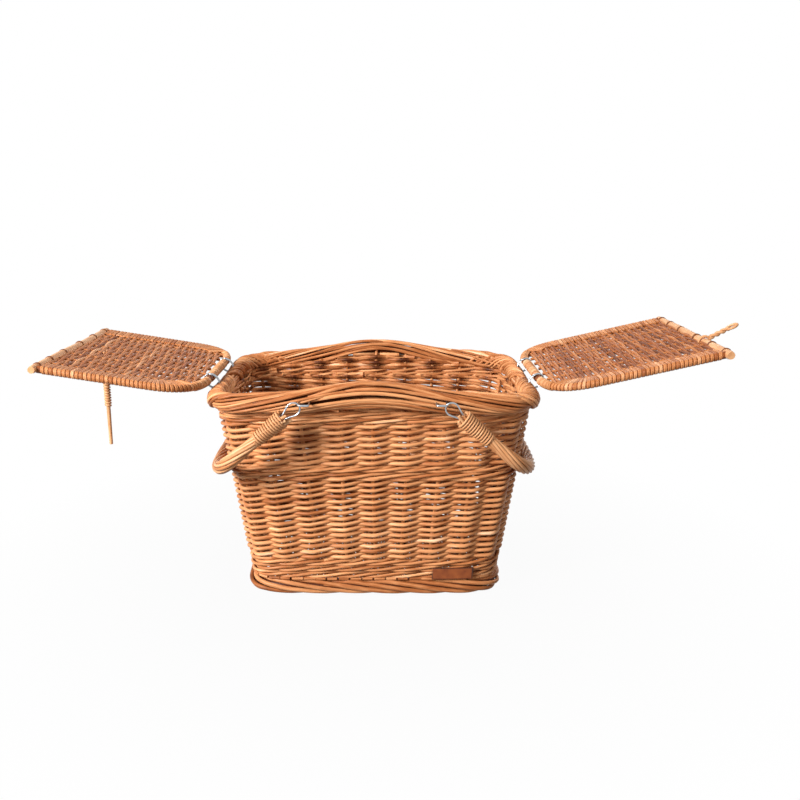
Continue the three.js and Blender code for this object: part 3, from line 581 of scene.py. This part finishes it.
for i in range(PATCH_COLUMNS):
    for j in range(PATCH_ROWS):
        patch_face((1, i, j), (1, i + 1, j), (1, i + 1, j + 1), (1, i, j + 1))
        patch_face((0, i, j), (0, i, j + 1), (0, i + 1, j + 1), (0, i + 1, j))
for i in range(PATCH_COLUMNS):
    j = PATCH_ROWS
    patch_face((0, i, 0), (0, i + 1, 0), (1, i + 1, 0), (1, i, 0))
    patch_face((0, i, j), (1, i, j), (1, i + 1, j), (0, i + 1, j))
for j in range(PATCH_ROWS):
    i = PATCH_COLUMNS
    patch_face((0, 0, j), (1, 0, j), (1, 0, j + 1), (0, 0, j + 1))
    patch_face((0, i, j), (0, i, j + 1), (1, i, j + 1), (1, i, j))
patch_mesh = bpy.data.meshes.new("leather_patch_hide")
patch_mesh.from_pydata((patch_points * MM).tolist(), [], patch_faces)
patch = bpy.data.objects.new("leather_patch_hide", patch_mesh)
bpy.context.scene.collection.objects.link(patch)
edge = patch.modifiers.new("edge", "BEVEL")
edge.width = PATCH_ROUNDING * MM
edge.segments = 3
edge.angle_limit = math.radians(50)
hide, hide_tree = new_material("vegetable_tanned_hide")
hide_place = add_node(hide_tree, "ShaderNodeTexCoord").outputs["Object"]
hide_cells = add_node(hide_tree, "ShaderNodeTexVoronoi", {"Scale": 1 / (HIDE_CELL * MM)},
                      {"Vector": hide_place})
hide_cloud = add_node(hide_tree, "ShaderNodeTexNoise",
                      {"Scale": 1 / (HIDE_CLOUD * MM), "Detail": 4.0}, {"Vector": hide_place})
hide_ramp = add_node(hide_tree, "ShaderNodeValToRGB", links={"Fac": hide_cloud.outputs["Fac"]})
for stop, position, code in zip(hide_ramp.color_ramp.elements, (0.3, 0.7), ("#74381b", "#9a5329")):
    stop.position = position
    stop.color = srgb(code)
hide_bump = add_node(hide_tree, "ShaderNodeBump", {"Strength": 0.4, "Distance": 0.0003},
                     {"Height": hide_cells.outputs["Distance"]})
hide_axes = add_node(hide_tree, "ShaderNodeSeparateXYZ", links={"Vector": hide_place}).outputs
hide_near = []
for axis, (low, high) in (("X", PATCH_X), ("Z", PATCH_Z)):
    half = (high - low) / 2
    hide_off = add_node(hide_tree, "ShaderNodeMath", {
        "operation": "SUBTRACT", 1: (low + high) / 2 * MM}, {0: hide_axes[axis]})
    hide_off = add_node(hide_tree, "ShaderNodeMath", {"operation": "ABSOLUTE"},
                        {0: hide_off.outputs[0]})
    hide_near.append(add_node(hide_tree, "ShaderNodeMapRange", {
        "From Min": (half - BURNISH_INNER) * MM, "From Max": (half - BURNISH_OUTER) * MM},
        {"Value": hide_off.outputs[0]}))
hide_rim = add_node(hide_tree, "ShaderNodeMath", {"operation": "MAXIMUM"}, {
    0: hide_near[0].outputs[0], 1: hide_near[1].outputs[0]})
hide_burnish = add_node(hide_tree, "ShaderNodeMix", {"data_type": "RGBA", 7: srgb("#3a1a0b")}, {
    0: hide_rim.outputs[0], 6: hide_ramp.outputs["Color"]})
hide_skin = add_node(hide_tree, "ShaderNodeBsdfPrincipled", {
    "Roughness": 0.66, "Specular IOR Level": 0.35}, {
    "Base Color": hide_burnish.outputs[2], "Normal": hide_bump.outputs[0]})
add_node(hide_tree, "ShaderNodeOutputMaterial", links={"Surface": hide_skin.outputs[0]})
patch_mesh.materials.append(hide)
patch_mesh.polygons.foreach_set("use_smooth", [True] * len(patch_mesh.polygons))
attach(patch, "basket")
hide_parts("leather_patch")

# Hinge rings: galvanised wire wound four times round each lid's end rod and through the rim.
# Two at each end carry a lid.
ENDS = (("left", -1), ("right", 1))
FACES = (("front", -1), ("back", 1))
HINGE_REACH = 204.5
HINGE_HEIGHT = 265
HINGE_WIRE_PLACE = 50
RING_RADIUS = 10.4
RING_WIDTH = 7.2
RING_SPREAD = 2.4
RING_WIRE_RADIUS = 0.75
RING_TURNS = 4
RING_INSET = 3.4
RING_DROP = 3
SPANGLE = 3
wire, wire_tree = new_material("galvanised_wire")
wire_place = add_node(wire_tree, "ShaderNodeTexCoord").outputs["Object"]
wire_spangle = add_node(wire_tree, "ShaderNodeTexNoise",
                        {"Scale": 1 / (SPANGLE * MM), "Detail": 3.0}, {"Vector": wire_place})
wire_ramp = add_node(wire_tree, "ShaderNodeValToRGB", links={"Fac": wire_spangle.outputs["Fac"]})
wire_ramp.color_ramp.elements[0].color = srgb("#858b91")
wire_ramp.color_ramp.elements[1].color = srgb("#c3c8cc")
wire_gloss = add_node(wire_tree, "ShaderNodeMapRange", {"To Min": 0.2, "To Max": 0.42},
                      {"Value": wire_spangle.outputs["Fac"]})
wire_skin = add_node(wire_tree, "ShaderNodeBsdfPrincipled", {"Metallic": 1.0}, {
    "Base Color": wire_ramp.outputs["Color"], "Roughness": wire_gloss.outputs[0]})
add_node(wire_tree, "ShaderNodeOutputMaterial", links={"Surface": wire_skin.outputs[0]})
for end, side in ENDS:
    for face, front_side in FACES:
        angle = np.linspace(0, FULL_TURN * RING_TURNS, 181)
        y = front_side * HINGE_WIRE_PLACE + RING_SPREAD * np.sin(angle * (1 + 1 / RING_TURNS))
        long, short = RING_RADIUS * np.cos(angle), RING_WIDTH * np.sin(angle)
        x = side * (HINGE_REACH - RING_INSET + (long + short) * math.sqrt(0.5))
        z = HINGE_HEIGHT - RING_DROP + (long - short) * math.sqrt(0.5)
        lay_rods(f"{end}_hinge_wire_{face}", [(path(x, y, z), RING_WIRE_RADIUS, 0.5)], 8, wire,
                 "basket", [f"{end}_hinge_ring_{face}"])

# Lids: a bent hoop, seven ribs and a stout stick at the free edge, randed across with thin rods.
# Split willow wraps the sides of the hoop turn by turn, finer towards the hinge.
# Each lid is a side, a length, a tilt and a painted shade on its weavers, which darkens the right
# lid where the key lamp lights it more.
LIDS = {"left": (-1, 186, 8.9, 0), "right": (1, 207, 12.8, -0.16)}
LID_HALF = 130
LID_CORNER = 55
LID_CORNER_WIDTH = 74
LID_ROD_RADIUS = 4.4
LID_ROD_TONE = 0.25
LID_ROD_INSET = 3
LID_ROD_JOIN = 4
LID_RIBS = 7
LID_RIB_RADIUS = 2.0
LID_RIB_PITCH = 32
LID_RIB_START = 8
LID_ROW_PITCH = 4.5
LID_FIRST_ROW = 13.4
LID_WEAVER_RADIUS = 2.0
LID_WAVE = 1.1
LID_WANDER = 0.7
LID_BAR_RADIUS = 5.0
LID_BAR_HALF = 139
LID_BAR_TIP = 5
TIE_PLACES = (-122, -76, -22, 38, 84, 122)
TIE_REACH = 5.1
TIE_RADIUS = 0.8
TIE_TURNS = 2
# Turns round the hoop are a pitch, a radius, a reach from its centre and a length of their ends.
SIDE_WRAP = (4.9, 1.35, 5.0, 22)
HINGE_SKEIN = (3.3, 0.95, 5.7, 5)
SIDE_WRAP_START = 5
SIDE_WRAP_CORNER = 0.62
SIDE_WRAP_TONE = 0.12
HINGE_SKEIN_CORNER = 1.06
HINGE_WIRE_CLEAR = 4
X_AXIS, Y_AXIS, Z_AXIS = np.eye(3)
lid_willow = buff_willow("lid_buff_willow", ("#4c220d", "#905029", "#bd7c4c", "#e3b085"), 0.42)
pale_willow = buff_willow("pale_split_willow", ("#6b3a1b", "#b4774a", "#d4a073", "#f0cfad"), 0.38)


def lid_place(points, end):
    """Lid coordinates, out from the hinge and up from its inside face, to the basket's frame."""
    side, _, tilt, _ = LIDS[end]
    lean = math.radians(tilt)
    x, y, z = np.asarray(points, float).T
    out = x * math.cos(lean) - z * math.sin(lean)
    up = x * math.sin(lean) + z * math.cos(lean)
    return path(side * (HINGE_REACH + out), side * y, HINGE_HEIGHT + up)


def lid_rods(rods, end, lighter=0):
    """Rods in lid coordinates, moved to the basket's frame."""
    return [(lid_place(points, end), radius, shade + lighter) for points, radius, shade in rods]


def hoop_half_width(x):
    """Half width of the hoop at a distance from the hinge."""
    t = 1 - np.sqrt(np.clip(x / LID_CORNER, 0, 1))
    return LID_HALF - LID_CORNER_WIDTH * t ** 2


def coil(start, stop, axes, radii, turns, steps):
    """A helix round a straight line, between two axes across it, with a radius at each end."""
    share = np.linspace(0, 1, steps)[:, None]
    angle = FULL_TURN * turns * share
    middle = np.array(start) + (np.array(stop) - np.array(start)) * share
    radius = radii[0] + (radii[1] - radii[0]) * share
    return middle + radius * (np.cos(angle) * axes[0] + np.sin(angle) * axes[1])


def on_line(line, run, place):
    """Both coordinates of places along a flat line."""
    return np.array([np.interp(place, run, line[:, axis]) for axis in (0, 1)])


def hoop_turns(line, flip, start, stop, pitch, radius, reach, tail):
    """Turns round a stretch of the hoop, each a pair of strips whose ends run into the lid."""
    run = run_along(line)
    spin = np.radians(np.linspace(70, 290, 20))
    size = reach - radius
    inward = np.r_[tail, tail / 2, size * np.cos(spin), tail / 2, tail]
    upward = np.r_[2.2, 3.2, size * np.sin(spin), -3.2, -2.2]
    turns = []
    for place in np.arange(start + pitch / 2, stop, pitch):
        ahead = on_line(line, run, place + 1) - on_line(line, run, place - 1)
        ahead = ahead / np.hypot(*ahead)
        slant = pitch * rng.uniform(0.5, 0.9) * np.linspace(-0.5, 0.5, len(inward))
        shade = tone()
        for strip in (-1, 1):
            x, y = on_line(line, run, place + slant + strip * (pitch / 2 - radius - 0.3))
            points = path(x - flip * inward * ahead[1], y + flip * inward * ahead[0], upward)
            turns.append((points, radius, shade))
    return turns


for end, (side, length, _, lid_painted_shade) in LIDS.items():
    body = f"{end}_lid"
    bend = np.linspace(0, 1, 24)
    hoop_half = np.vstack([
        np.c_[np.linspace(length - LID_ROD_INSET, LID_CORNER + LID_ROD_JOIN, 30),
              np.full(30, LID_HALF)],
        np.c_[LID_CORNER * (1 - bend) ** 2, LID_HALF - LID_CORNER_WIDTH * bend ** 2],
        np.c_[np.zeros(12), np.linspace(LID_HALF - LID_CORNER_WIDTH - LID_ROD_JOIN, 0, 12)]])
    hoop = np.vstack([hoop_half, hoop_half[-2::-1] * [1, -1]])
    hoop_rods = [(path(*hoop.T, 0), LID_ROD_RADIUS, LID_ROD_TONE)]
    lay_rods(f"{end}_lid_hoop_rod", lid_rods(hoop_rods, end), 14, lid_willow,
             body, [f"{end}_lid_hoop"])
    ribs = []
    for rib in range(LID_RIBS):
        y = (rib - (LID_RIBS - 1) / 2) * LID_RIB_PITCH
        ribs.append((path(np.linspace(LID_RIB_START, length, 30), y, 0), LID_RIB_RADIUS, tone()))
    lay_rods(f"{end}_lid_ribs", lid_rods(ribs, end), 9, lid_willow,
             body, [f"{end}_lid_rib_{i + 1}" for i in range(LID_RIBS)])
    weavers = []
    for row in range(int((length - LID_FIRST_ROW + 1) / LID_ROW_PITCH)):
        x = LID_FIRST_ROW + row * LID_ROW_PITCH
        half = hoop_half_width(x)
        y = np.linspace(-half + 1, half - 1, 90)
        wander = LID_WANDER * np.sin(y / rng.uniform(25, 45) + rng.uniform(0, ANY_PHASE))
        z = LID_WAVE * np.cos(np.pi * (y / LID_RIB_PITCH + row))
        thick = LID_WEAVER_RADIUS * rng.uniform(0.92, 1.1)
        # The weavers take the lid's painted shade.
        weavers.append((path(x + wander, y, z), thick, tone() + lid_painted_shade))
    lay_rods(f"{end}_lid_weavers", lid_rods(weavers, end), 8, lid_willow,
             body, [f"{end}_lid_weave"])
    side_run = length - LID_ROD_INSET - LID_CORNER
    corner = math.hypot(LID_CORNER, LID_CORNER_WIDTH)
    wrap_stop = side_run + SIDE_WRAP_CORNER * corner
    skein_stop = side_run + HINGE_SKEIN_CORNER * corner
    wraps, skeins = [], []
    for flip in (1, -1):
        line = hoop_half * [1, flip]
        wraps += hoop_turns(line, flip, SIDE_WRAP_START, wrap_stop, *SIDE_WRAP)
        skeins += hoop_turns(line, flip, wrap_stop, skein_stop, *HINGE_SKEIN)
    lay_rods(f"{end}_lid_side_wraps", lid_rods(wraps, end, SIDE_WRAP_TONE), 8, lid_willow,
             body, [f"{end}_lid_wrap_front", f"{end}_lid_wrap_back"])
    middle_half = HINGE_WIRE_PLACE - HINGE_WIRE_CLEAR
    middle = np.array([[0, -middle_half], [0, middle_half]])
    skeins += hoop_turns(middle, -1, 0, 2 * middle_half, *HINGE_SKEIN)
    lay_rods(f"{end}_lid_hinge_skein", lid_rods(skeins, end), 8, pale_willow,
             body, [f"{end}_lid_hinge_wrap"])
    y = np.linspace(-LID_BAR_HALF, LID_BAR_HALF, 60)
    bar = path(length + 0.5 * np.sin(y / 60 + side), y, 0.4 * np.sin(y / 47))
    tips = np.clip((LID_BAR_HALF - np.abs(y)) / LID_BAR_TIP, 0, 1)
    swell = 1 + 0.03 * np.sin(y / 21) - 0.06 * (y / LID_BAR_HALF)
    bar_rods = [(bar, LID_BAR_RADIUS * swell * (0.85 + 0.15 * np.sqrt(tips)), 0.6)]
    lay_rods(f"{end}_lid_bar_stick", lid_rods(bar_rods, end), 16, pale_willow,
             body, [f"{end}_lid_bar"])
    ties = []
    for y in TIE_PLACES:
        width = rng.uniform(1.2, 2.2)
        tie = coil((length, y - width, 0), (length, y + width, 0), (X_AXIS, Z_AXIS),
                   (TIE_REACH, TIE_REACH), TIE_TURNS, 48)
        ties.append((tie, TIE_RADIUS, PAINTED_SHADE_AND_TIE_TONE))
    lay_rods(f"{end}_lid_bar_ties", lid_rods(ties, end), 8, pale_willow, body)

# Closing loop: two thin rods twisted into a stem round the right lid's stick, with an eye.
# The peg goes through the eye when the lids are shut.
CLOSER_Y = -50
CLOSER_LIFT = 2
CLOSER_TILT = 15
CLOSER_COLLAR = 7.0
CLOSER_STEM = 24
CLOSER_TWIST = 15
CLOSER_TWIST_RADIUS = 1.6
CLOSER_EYE = 6.2
CLOSER_ROD = 1.7
closer_x = LIDS["right"][1]
lean = math.radians(CLOSER_TILT)
collar = np.linspace(0, FULL_TURN, 40)
closer_rods = [(path(closer_x + CLOSER_COLLAR * np.cos(collar), CLOSER_Y,
                     CLOSER_COLLAR * np.sin(collar)), CLOSER_ROD, 0.55)]
for strand, flip in ((0, -1), (1, 1)):
    run = np.linspace(0, CLOSER_STEM + 1, 70)
    twist = FULL_TURN * run / CLOSER_TWIST + strand * np.pi
    stem = path(CLOSER_COLLAR + run, CLOSER_TWIST_RADIUS * np.cos(twist),
                CLOSER_TWIST_RADIUS * np.sin(twist))
    sweep = np.linspace(np.pi, 0, 24)
    eye = path(CLOSER_COLLAR + CLOSER_STEM + CLOSER_EYE * (1 + np.cos(sweep)),
               flip * CLOSER_EYE * np.sin(sweep), 0)
    x, y, z = np.vstack([stem, eye[3:]]).T
    turned = path(x * math.cos(lean) - z * math.sin(lean) + closer_x, y + CLOSER_Y,
                  x * math.sin(lean) + z * math.cos(lean) + CLOSER_LIFT)
    closer_rods.append((turned, CLOSER_ROD, 0.5 + 0.15 * strand))
lay_rods("closing_loop_rods", lid_rods(closer_rods, "right"), 9, pale_willow,
         "right_lid", ["closing_loop"])

# Peg: a whittled stick on a bound tether that hangs from a rod eye under the left lid.
# The eye's legs are pushed up through the lid.
EYE_REACH = 145
EYE_DROP = 9
EYE_RADIUS = 6
EYE_LEG = 3
EYE_ROD = 1.6
TETHER_LENGTH = 57
TETHER_RING = 3.6
TETHER_RING_ROD = 1.5
TETHER_CORE = 2.9
BINDING_START = 5
BINDING_TURNS = 16
BINDING_REACH = 3.1
BINDING_ROD = 1.55
PEG_LENGTH = 63.5
PEG_OVERLAP = 11
PEG_RADIUS = (2.75, 2.3)
PEG_PIVOT = lid_place([[EYE_REACH, 0, -EYE_DROP]], "left")[0]
sweep = np.linspace(np.pi, 0, 20)
eye = np.vstack([
    [[EYE_REACH, -EYE_RADIUS, EYE_LEG]],
    path(EYE_REACH, EYE_RADIUS * np.cos(sweep), -EYE_LEG - EYE_RADIUS * np.sin(sweep)),
    [[EYE_REACH, EYE_RADIUS, EYE_LEG]]])
lay_rods("peg_eye_rod", lid_rods([(eye, EYE_ROD, 0.5)], "left"), 9, pale_willow,
         "left_lid", ["peg_eye"])
angle = np.linspace(0, FULL_TURN, 32)
ring = path(TETHER_RING * np.sin(angle), 0, TETHER_RING * np.cos(angle))
tether_end = TETHER_RING + TETHER_LENGTH
core = path(0, 0, -np.linspace(TETHER_RING, tether_end, 30))
binding = coil((0, 0, -BINDING_START), (0, 0, -tether_end), (X_AXIS, Y_AXIS),
               (BINDING_REACH, BINDING_REACH), BINDING_TURNS, BINDING_TURNS * 16)
tether = [(PEG_PIVOT + ring, TETHER_RING_ROD, 0.5), (PEG_PIVOT + core, TETHER_CORE, 0.45),
          (PEG_PIVOT + binding, BINDING_ROD, 0.62)]
lay_rods("peg_tether_binding", tether, 9, pale_willow, "peg", ["peg_tether"])
stick_top = tether_end - PEG_OVERLAP
stick = PEG_PIVOT + path(0, 0, -np.linspace(stick_top, stick_top + PEG_LENGTH, 24))
lay_rods("peg_stick", [(stick, np.linspace(*PEG_RADIUS, 24), 0.6)], 12, pale_willow,
         "peg", ["peg"])

# Handles: rods twisted into a bowed grip, bound with skein over a wire loop at each end.
# The loops swing on wire staples pushed into the rim.
PIVOT_REACH = 84
PIVOT_HEIGHT = 258
HANDLE_HALF = 160
HANDLE_REACH = 138
HANDLE_HANG = 40.14
GRIP_BOW = 0.6
GRIP_END = 20
GRIP_END_OVERRUN = 4
GRIP_LEG_END = 81
GRIP_STEPS = 220
GRIP_STRANDS = 10
GRIP_TURNS = 2.6
GRIP_RADIUS = 8.5
GRIP_ROD = 1.95
GRIP_CORE = 4.4
GRIP_FROM_END = (0, 44, 62, 90)
GRIP_SWELL = (GRIP_RADIUS + 1.6, 6.7, 7.2, GRIP_RADIUS)
WHIP_START = 24
WHIP_END = 64
WHIP_TURNS = 12
WHIP_RADIUS = 1.28
WHIP_REACH = (9.9, 7.1)
LOOP_WIRE = 1.0
LOOP_SMOOTHING = 6
LOOP_X_AT = (0, 0.2, 0.36, 0.5, 0.64, 0.8, 1)
LOOP_X = (34, 20, 8, -2.5, 8, 20, 34)
LOOP_Z_AT = (0, 0.2, 0.36, 0.44, 0.5, 0.56, 0.64, 0.8, 1)
LOOP_Z = (2.2, 3.0, 7.8, 6.4, 0, -6.4, -7.8, -3.0, -2.2)
STAPLE_WIRE = 1.2
STAPLE_FACE = 162.5
STAPLE_LEG = 150
STAPLE_DEEP = 141
STAPLE_WIDTH = 12
STAPLE_BEND = 2.4


def handle_place(points, side):
    """Handle coordinates, out along the legs from the pivot, to the basket's frame."""
    hang = math.radians(HANDLE_HANG)
    x, y, z = np.asarray(points, float).T
    out = x * math.cos(hang) + z * math.sin(hang)
    up = -x * math.sin(hang) + z * math.cos(hang)
    return path(side * (PIVOT_REACH + out), side * y, PIVOT_HEIGHT + up)


bow = np.linspace(0, np.pi, 400)
bow_x = GRIP_LEG_END + (HANDLE_REACH - GRIP_LEG_END) * np.sin(bow) ** GRIP_BOW
bow_y = -HANDLE_HALF * np.sign(np.cos(bow)) * np.abs(np.cos(bow)) ** GRIP_BOW
leg = np.linspace(GRIP_END - GRIP_END_OVERRUN, GRIP_LEG_END, 40)[:-1]
grip = np.vstack([path(leg, -HANDLE_HALF, 0), path(bow_x, bow_y, 0),
                  path(leg[::-1], HANDLE_HALF, 0)])
grip_run = run_along(grip)
even = np.linspace(0, grip_run[-1], GRIP_STEPS)
grip_x, grip_y = on_line(grip, grip_run, even)
grip_dx, grip_dy = np.gradient(grip_x), np.gradient(grip_y)
grip_size = np.hypot(grip_dx, grip_dy)
from_end = np.minimum(even, even[-1] - even)
grip_across = np.interp(from_end, GRIP_FROM_END, GRIP_SWELL) - GRIP_ROD
share = np.linspace(0, 1, 60)
loop_x = np.interp(share, LOOP_X_AT, LOOP_X)
loop_z = np.interp(share, LOOP_Z_AT, LOOP_Z)
for line in (loop_x, loop_z):
    for _ in range(LOOP_SMOOTHING):
        line[1:-1] = (line[:-2] + 2 * line[1:-1] + line[2:]) / 4
for end, side in ENDS:
    body = f"{end}_handle"
    strands = []
    for strand in range(GRIP_STRANDS):
        angle = FULL_TURN * (strand / GRIP_STRANDS + GRIP_TURNS * even / even[-1])
        sideways = grip_across * np.cos(angle)
        points = path(grip_x - sideways * grip_dy / grip_size,
                      grip_y + sideways * grip_dx / grip_size, grip_across * np.sin(angle))
        cut = slice(rng.integers(0, 4), GRIP_STEPS - rng.integers(0, 4))
        strands.append((handle_place(points[cut], side), GRIP_ROD, tone()))
    # A core rod inside the grip, its dark tone painted shade between the strands.
    core = path(grip_x, grip_y, 0)[4:-4]
    strands.append((handle_place(core, side), GRIP_CORE, PAINTED_SHADE_AND_TIE_TONE))
    lay_rods(f"{end}_grip_rods", strands, 10, pale_willow, body, [f"{end}_grip"])
    for face, front_side in FACES:
        y = front_side * side * HANDLE_HALF
        wrap = coil((WHIP_START, y, 0), (WHIP_END, y, 0), (Y_AXIS, Z_AXIS), WHIP_REACH,
                    WHIP_TURNS, WHIP_TURNS * 20)
        lay_rods(f"{end}_whipping_skein_{face}", [(handle_place(wrap, side), WHIP_RADIUS, 0.5)],
                 8, pale_willow, body, [f"{end}_whipping_{face}"])
        loop = handle_place(path(loop_x, y, loop_z), side)
        lay_rods(f"{end}_wire_eye_{face}", [(loop, LOOP_WIRE, 0.5)], 10, wire,
                 body, [f"{end}_wire_loop_{face}"])
        bend = np.linspace(0, np.pi / 2, 6)
        round_x, round_y = STAPLE_BEND * np.cos(bend), STAPLE_BEND * np.sin(bend)
        pin_x, tail_x = side * PIVOT_REACH, side * (PIVOT_REACH - STAPLE_WIDTH)
        flat = STAPLE_FACE - STAPLE_BEND
        staple = np.vstack([
            [[pin_x, STAPLE_DEEP], [pin_x, STAPLE_LEG]],
            np.c_[pin_x - side * (STAPLE_BEND - round_x), flat + round_y],
            np.c_[tail_x + side * (STAPLE_BEND - round_y), flat + round_x],
            [[tail_x, STAPLE_LEG], [tail_x, STAPLE_DEEP]]])
        points = path(staple[:, 0], front_side * staple[:, 1], PIVOT_HEIGHT)
        lay_rods(f"{end}_staple_wire_{face}", [(points, STAPLE_WIRE, 0.5)], 10, wire,
                 "basket", [f"{end}_staple_{face}"])

# Studio: a white floor, soft lamps at both sides, above and behind, and the camera above the rim.
# Camera rays see the floor and the surroundings as white, and the floor keeps the basket's shadow.
# Only the key lamp shows in the gloss. Each lamp is a place, an aim, a size and a power.
FLOOR_HALF = 20
FLOOR_NEAR = 0.2
FLOOR_FAR = 0.6
FLOOR_SHADE = 0.96
SKY_LIGHT = 0.03
WHITE = (1, 1, 1, 1)
KEY_LAMP = "key_lamp"
LAMPS = {
    KEY_LAMP: ((-1.75, -1.45, 1.3), (0, 0, 0.15), 0.9, 130),
    "fill_lamp": ((1.1, -1.9, 0.9), (0, 0, 0.15), 0.8, 12),
    "top_lamp": ((0.8, 0.2, 2.1), (0, 0, 0.2), 0.8, 14),
    "back_lamp": ((0.9, 2.0, 1.0), (0, 0, 0.15), 1.2, 32),
}
FOCAL_PIXELS = 880.4
FRAME_PIXELS = 800
SHIFT_PIXELS = 12
CAMERA_PITCH = 13.7
CAMERA_PLACE = (0.0172, -1.119, 0.498)
floor_corners = [(x * FLOOR_HALF, y * FLOOR_HALF, 0)
                 for x, y in ((-1, -1), (1, -1), (1, 1), (-1, 1))]
floor_mesh = bpy.data.meshes.new("floor")
floor_mesh.from_pydata(floor_corners, [], [(0, 1, 2, 3)])
floor = bpy.data.objects.new("floor", floor_mesh)
bpy.context.scene.collection.objects.link(floor)
paper, paper_tree = new_material("white_paper")
paper_rays = add_node(paper_tree, "ShaderNodeLightPath").outputs
paper_seen = add_node(paper_tree, "ShaderNodeMath", {"operation": "MAXIMUM"}, {
    0: paper_rays["Is Camera Ray"], 1: paper_rays["Is Glossy Ray"]})
paper_place = add_node(paper_tree, "ShaderNodeTexCoord").outputs["Object"]
paper_far = add_node(paper_tree, "ShaderNodeVectorMath", {"operation": "LENGTH"}, {0: paper_place})
paper_fade = add_node(paper_tree, "ShaderNodeMapRange", {
    "From Min": FLOOR_NEAR, "From Max": FLOOR_FAR, "To Min": FLOOR_SHADE, "To Max": 1.0}, {
    "Value": paper_far.outputs["Value"]})
paper_seen = add_node(paper_tree, "ShaderNodeMath", {"operation": "MULTIPLY"}, {
    0: paper_seen.outputs[0], 1: paper_fade.outputs[0]})
paper_plain = add_node(paper_tree, "ShaderNodeBsdfDiffuse", {"Color": srgb("#707070")})
paper_white = add_node(paper_tree, "ShaderNodeEmission", {"Color": WHITE, "Strength": 1.0})
paper_mix = add_node(paper_tree, "ShaderNodeMixShader", links={
    0: paper_seen.outputs[0], 1: paper_plain.outputs[0], 2: paper_white.outputs[0]})
add_node(paper_tree, "ShaderNodeOutputMaterial", links={"Surface": paper_mix.outputs[0]})
floor_mesh.materials.append(paper)

world = bpy.data.worlds.new("studio")
bpy.context.scene.world = world
world.use_nodes = True
sky_tree = world.node_tree
sky_tree.nodes.clear()
sky_rays = add_node(sky_tree, "ShaderNodeLightPath").outputs
sky_seen = add_node(sky_tree, "ShaderNodeMath", {"operation": "MAXIMUM"}, {
    0: sky_rays["Is Camera Ray"], 1: sky_rays["Is Glossy Ray"]})
sky_seen = add_node(sky_tree, "ShaderNodeMath", {"operation": "MAXIMUM"}, {
    0: sky_seen.outputs[0], 1: sky_rays["Is Transmission Ray"]})
sky_soft = add_node(sky_tree, "ShaderNodeBackground", {"Color": WHITE, "Strength": SKY_LIGHT})
sky_white = add_node(sky_tree, "ShaderNodeBackground", {"Color": WHITE, "Strength": 1.0})
sky_mix = add_node(sky_tree, "ShaderNodeMixShader", links={
    0: sky_seen.outputs[0], 1: sky_soft.outputs[0], 2: sky_white.outputs[0]})
add_node(sky_tree, "ShaderNodeOutputWorld", links={"Surface": sky_mix.outputs[0]})

for name, (place, aim, size, power) in LAMPS.items():
    lamp = bpy.data.lights.new(name, "AREA")
    lamp.size = size
    lamp.energy = power
    holder = bpy.data.objects.new(name, lamp)
    holder.location = place
    holder.visible_glossy = name == KEY_LAMP
    x, y, z = np.array(aim) - np.array(place)
    holder.rotation_euler = (math.atan2(math.hypot(x, y), -z), 0, math.atan2(-x, y))
    bpy.context.scene.collection.objects.link(holder)

camera = bpy.data.cameras.new("camera")
camera.sensor_width = 36
camera.lens = camera.sensor_width * FOCAL_PIXELS / FRAME_PIXELS
camera.shift_x = SHIFT_PIXELS / FRAME_PIXELS
viewer = bpy.data.objects.new("camera", camera)
viewer.location = CAMERA_PLACE
viewer.rotation_euler = (math.radians(90 - CAMERA_PITCH), 0, 0)
bpy.context.scene.collection.objects.link(viewer)
bpy.context.scene.camera = viewer
bpy.context.scene.view_settings.view_transform = "Standard"
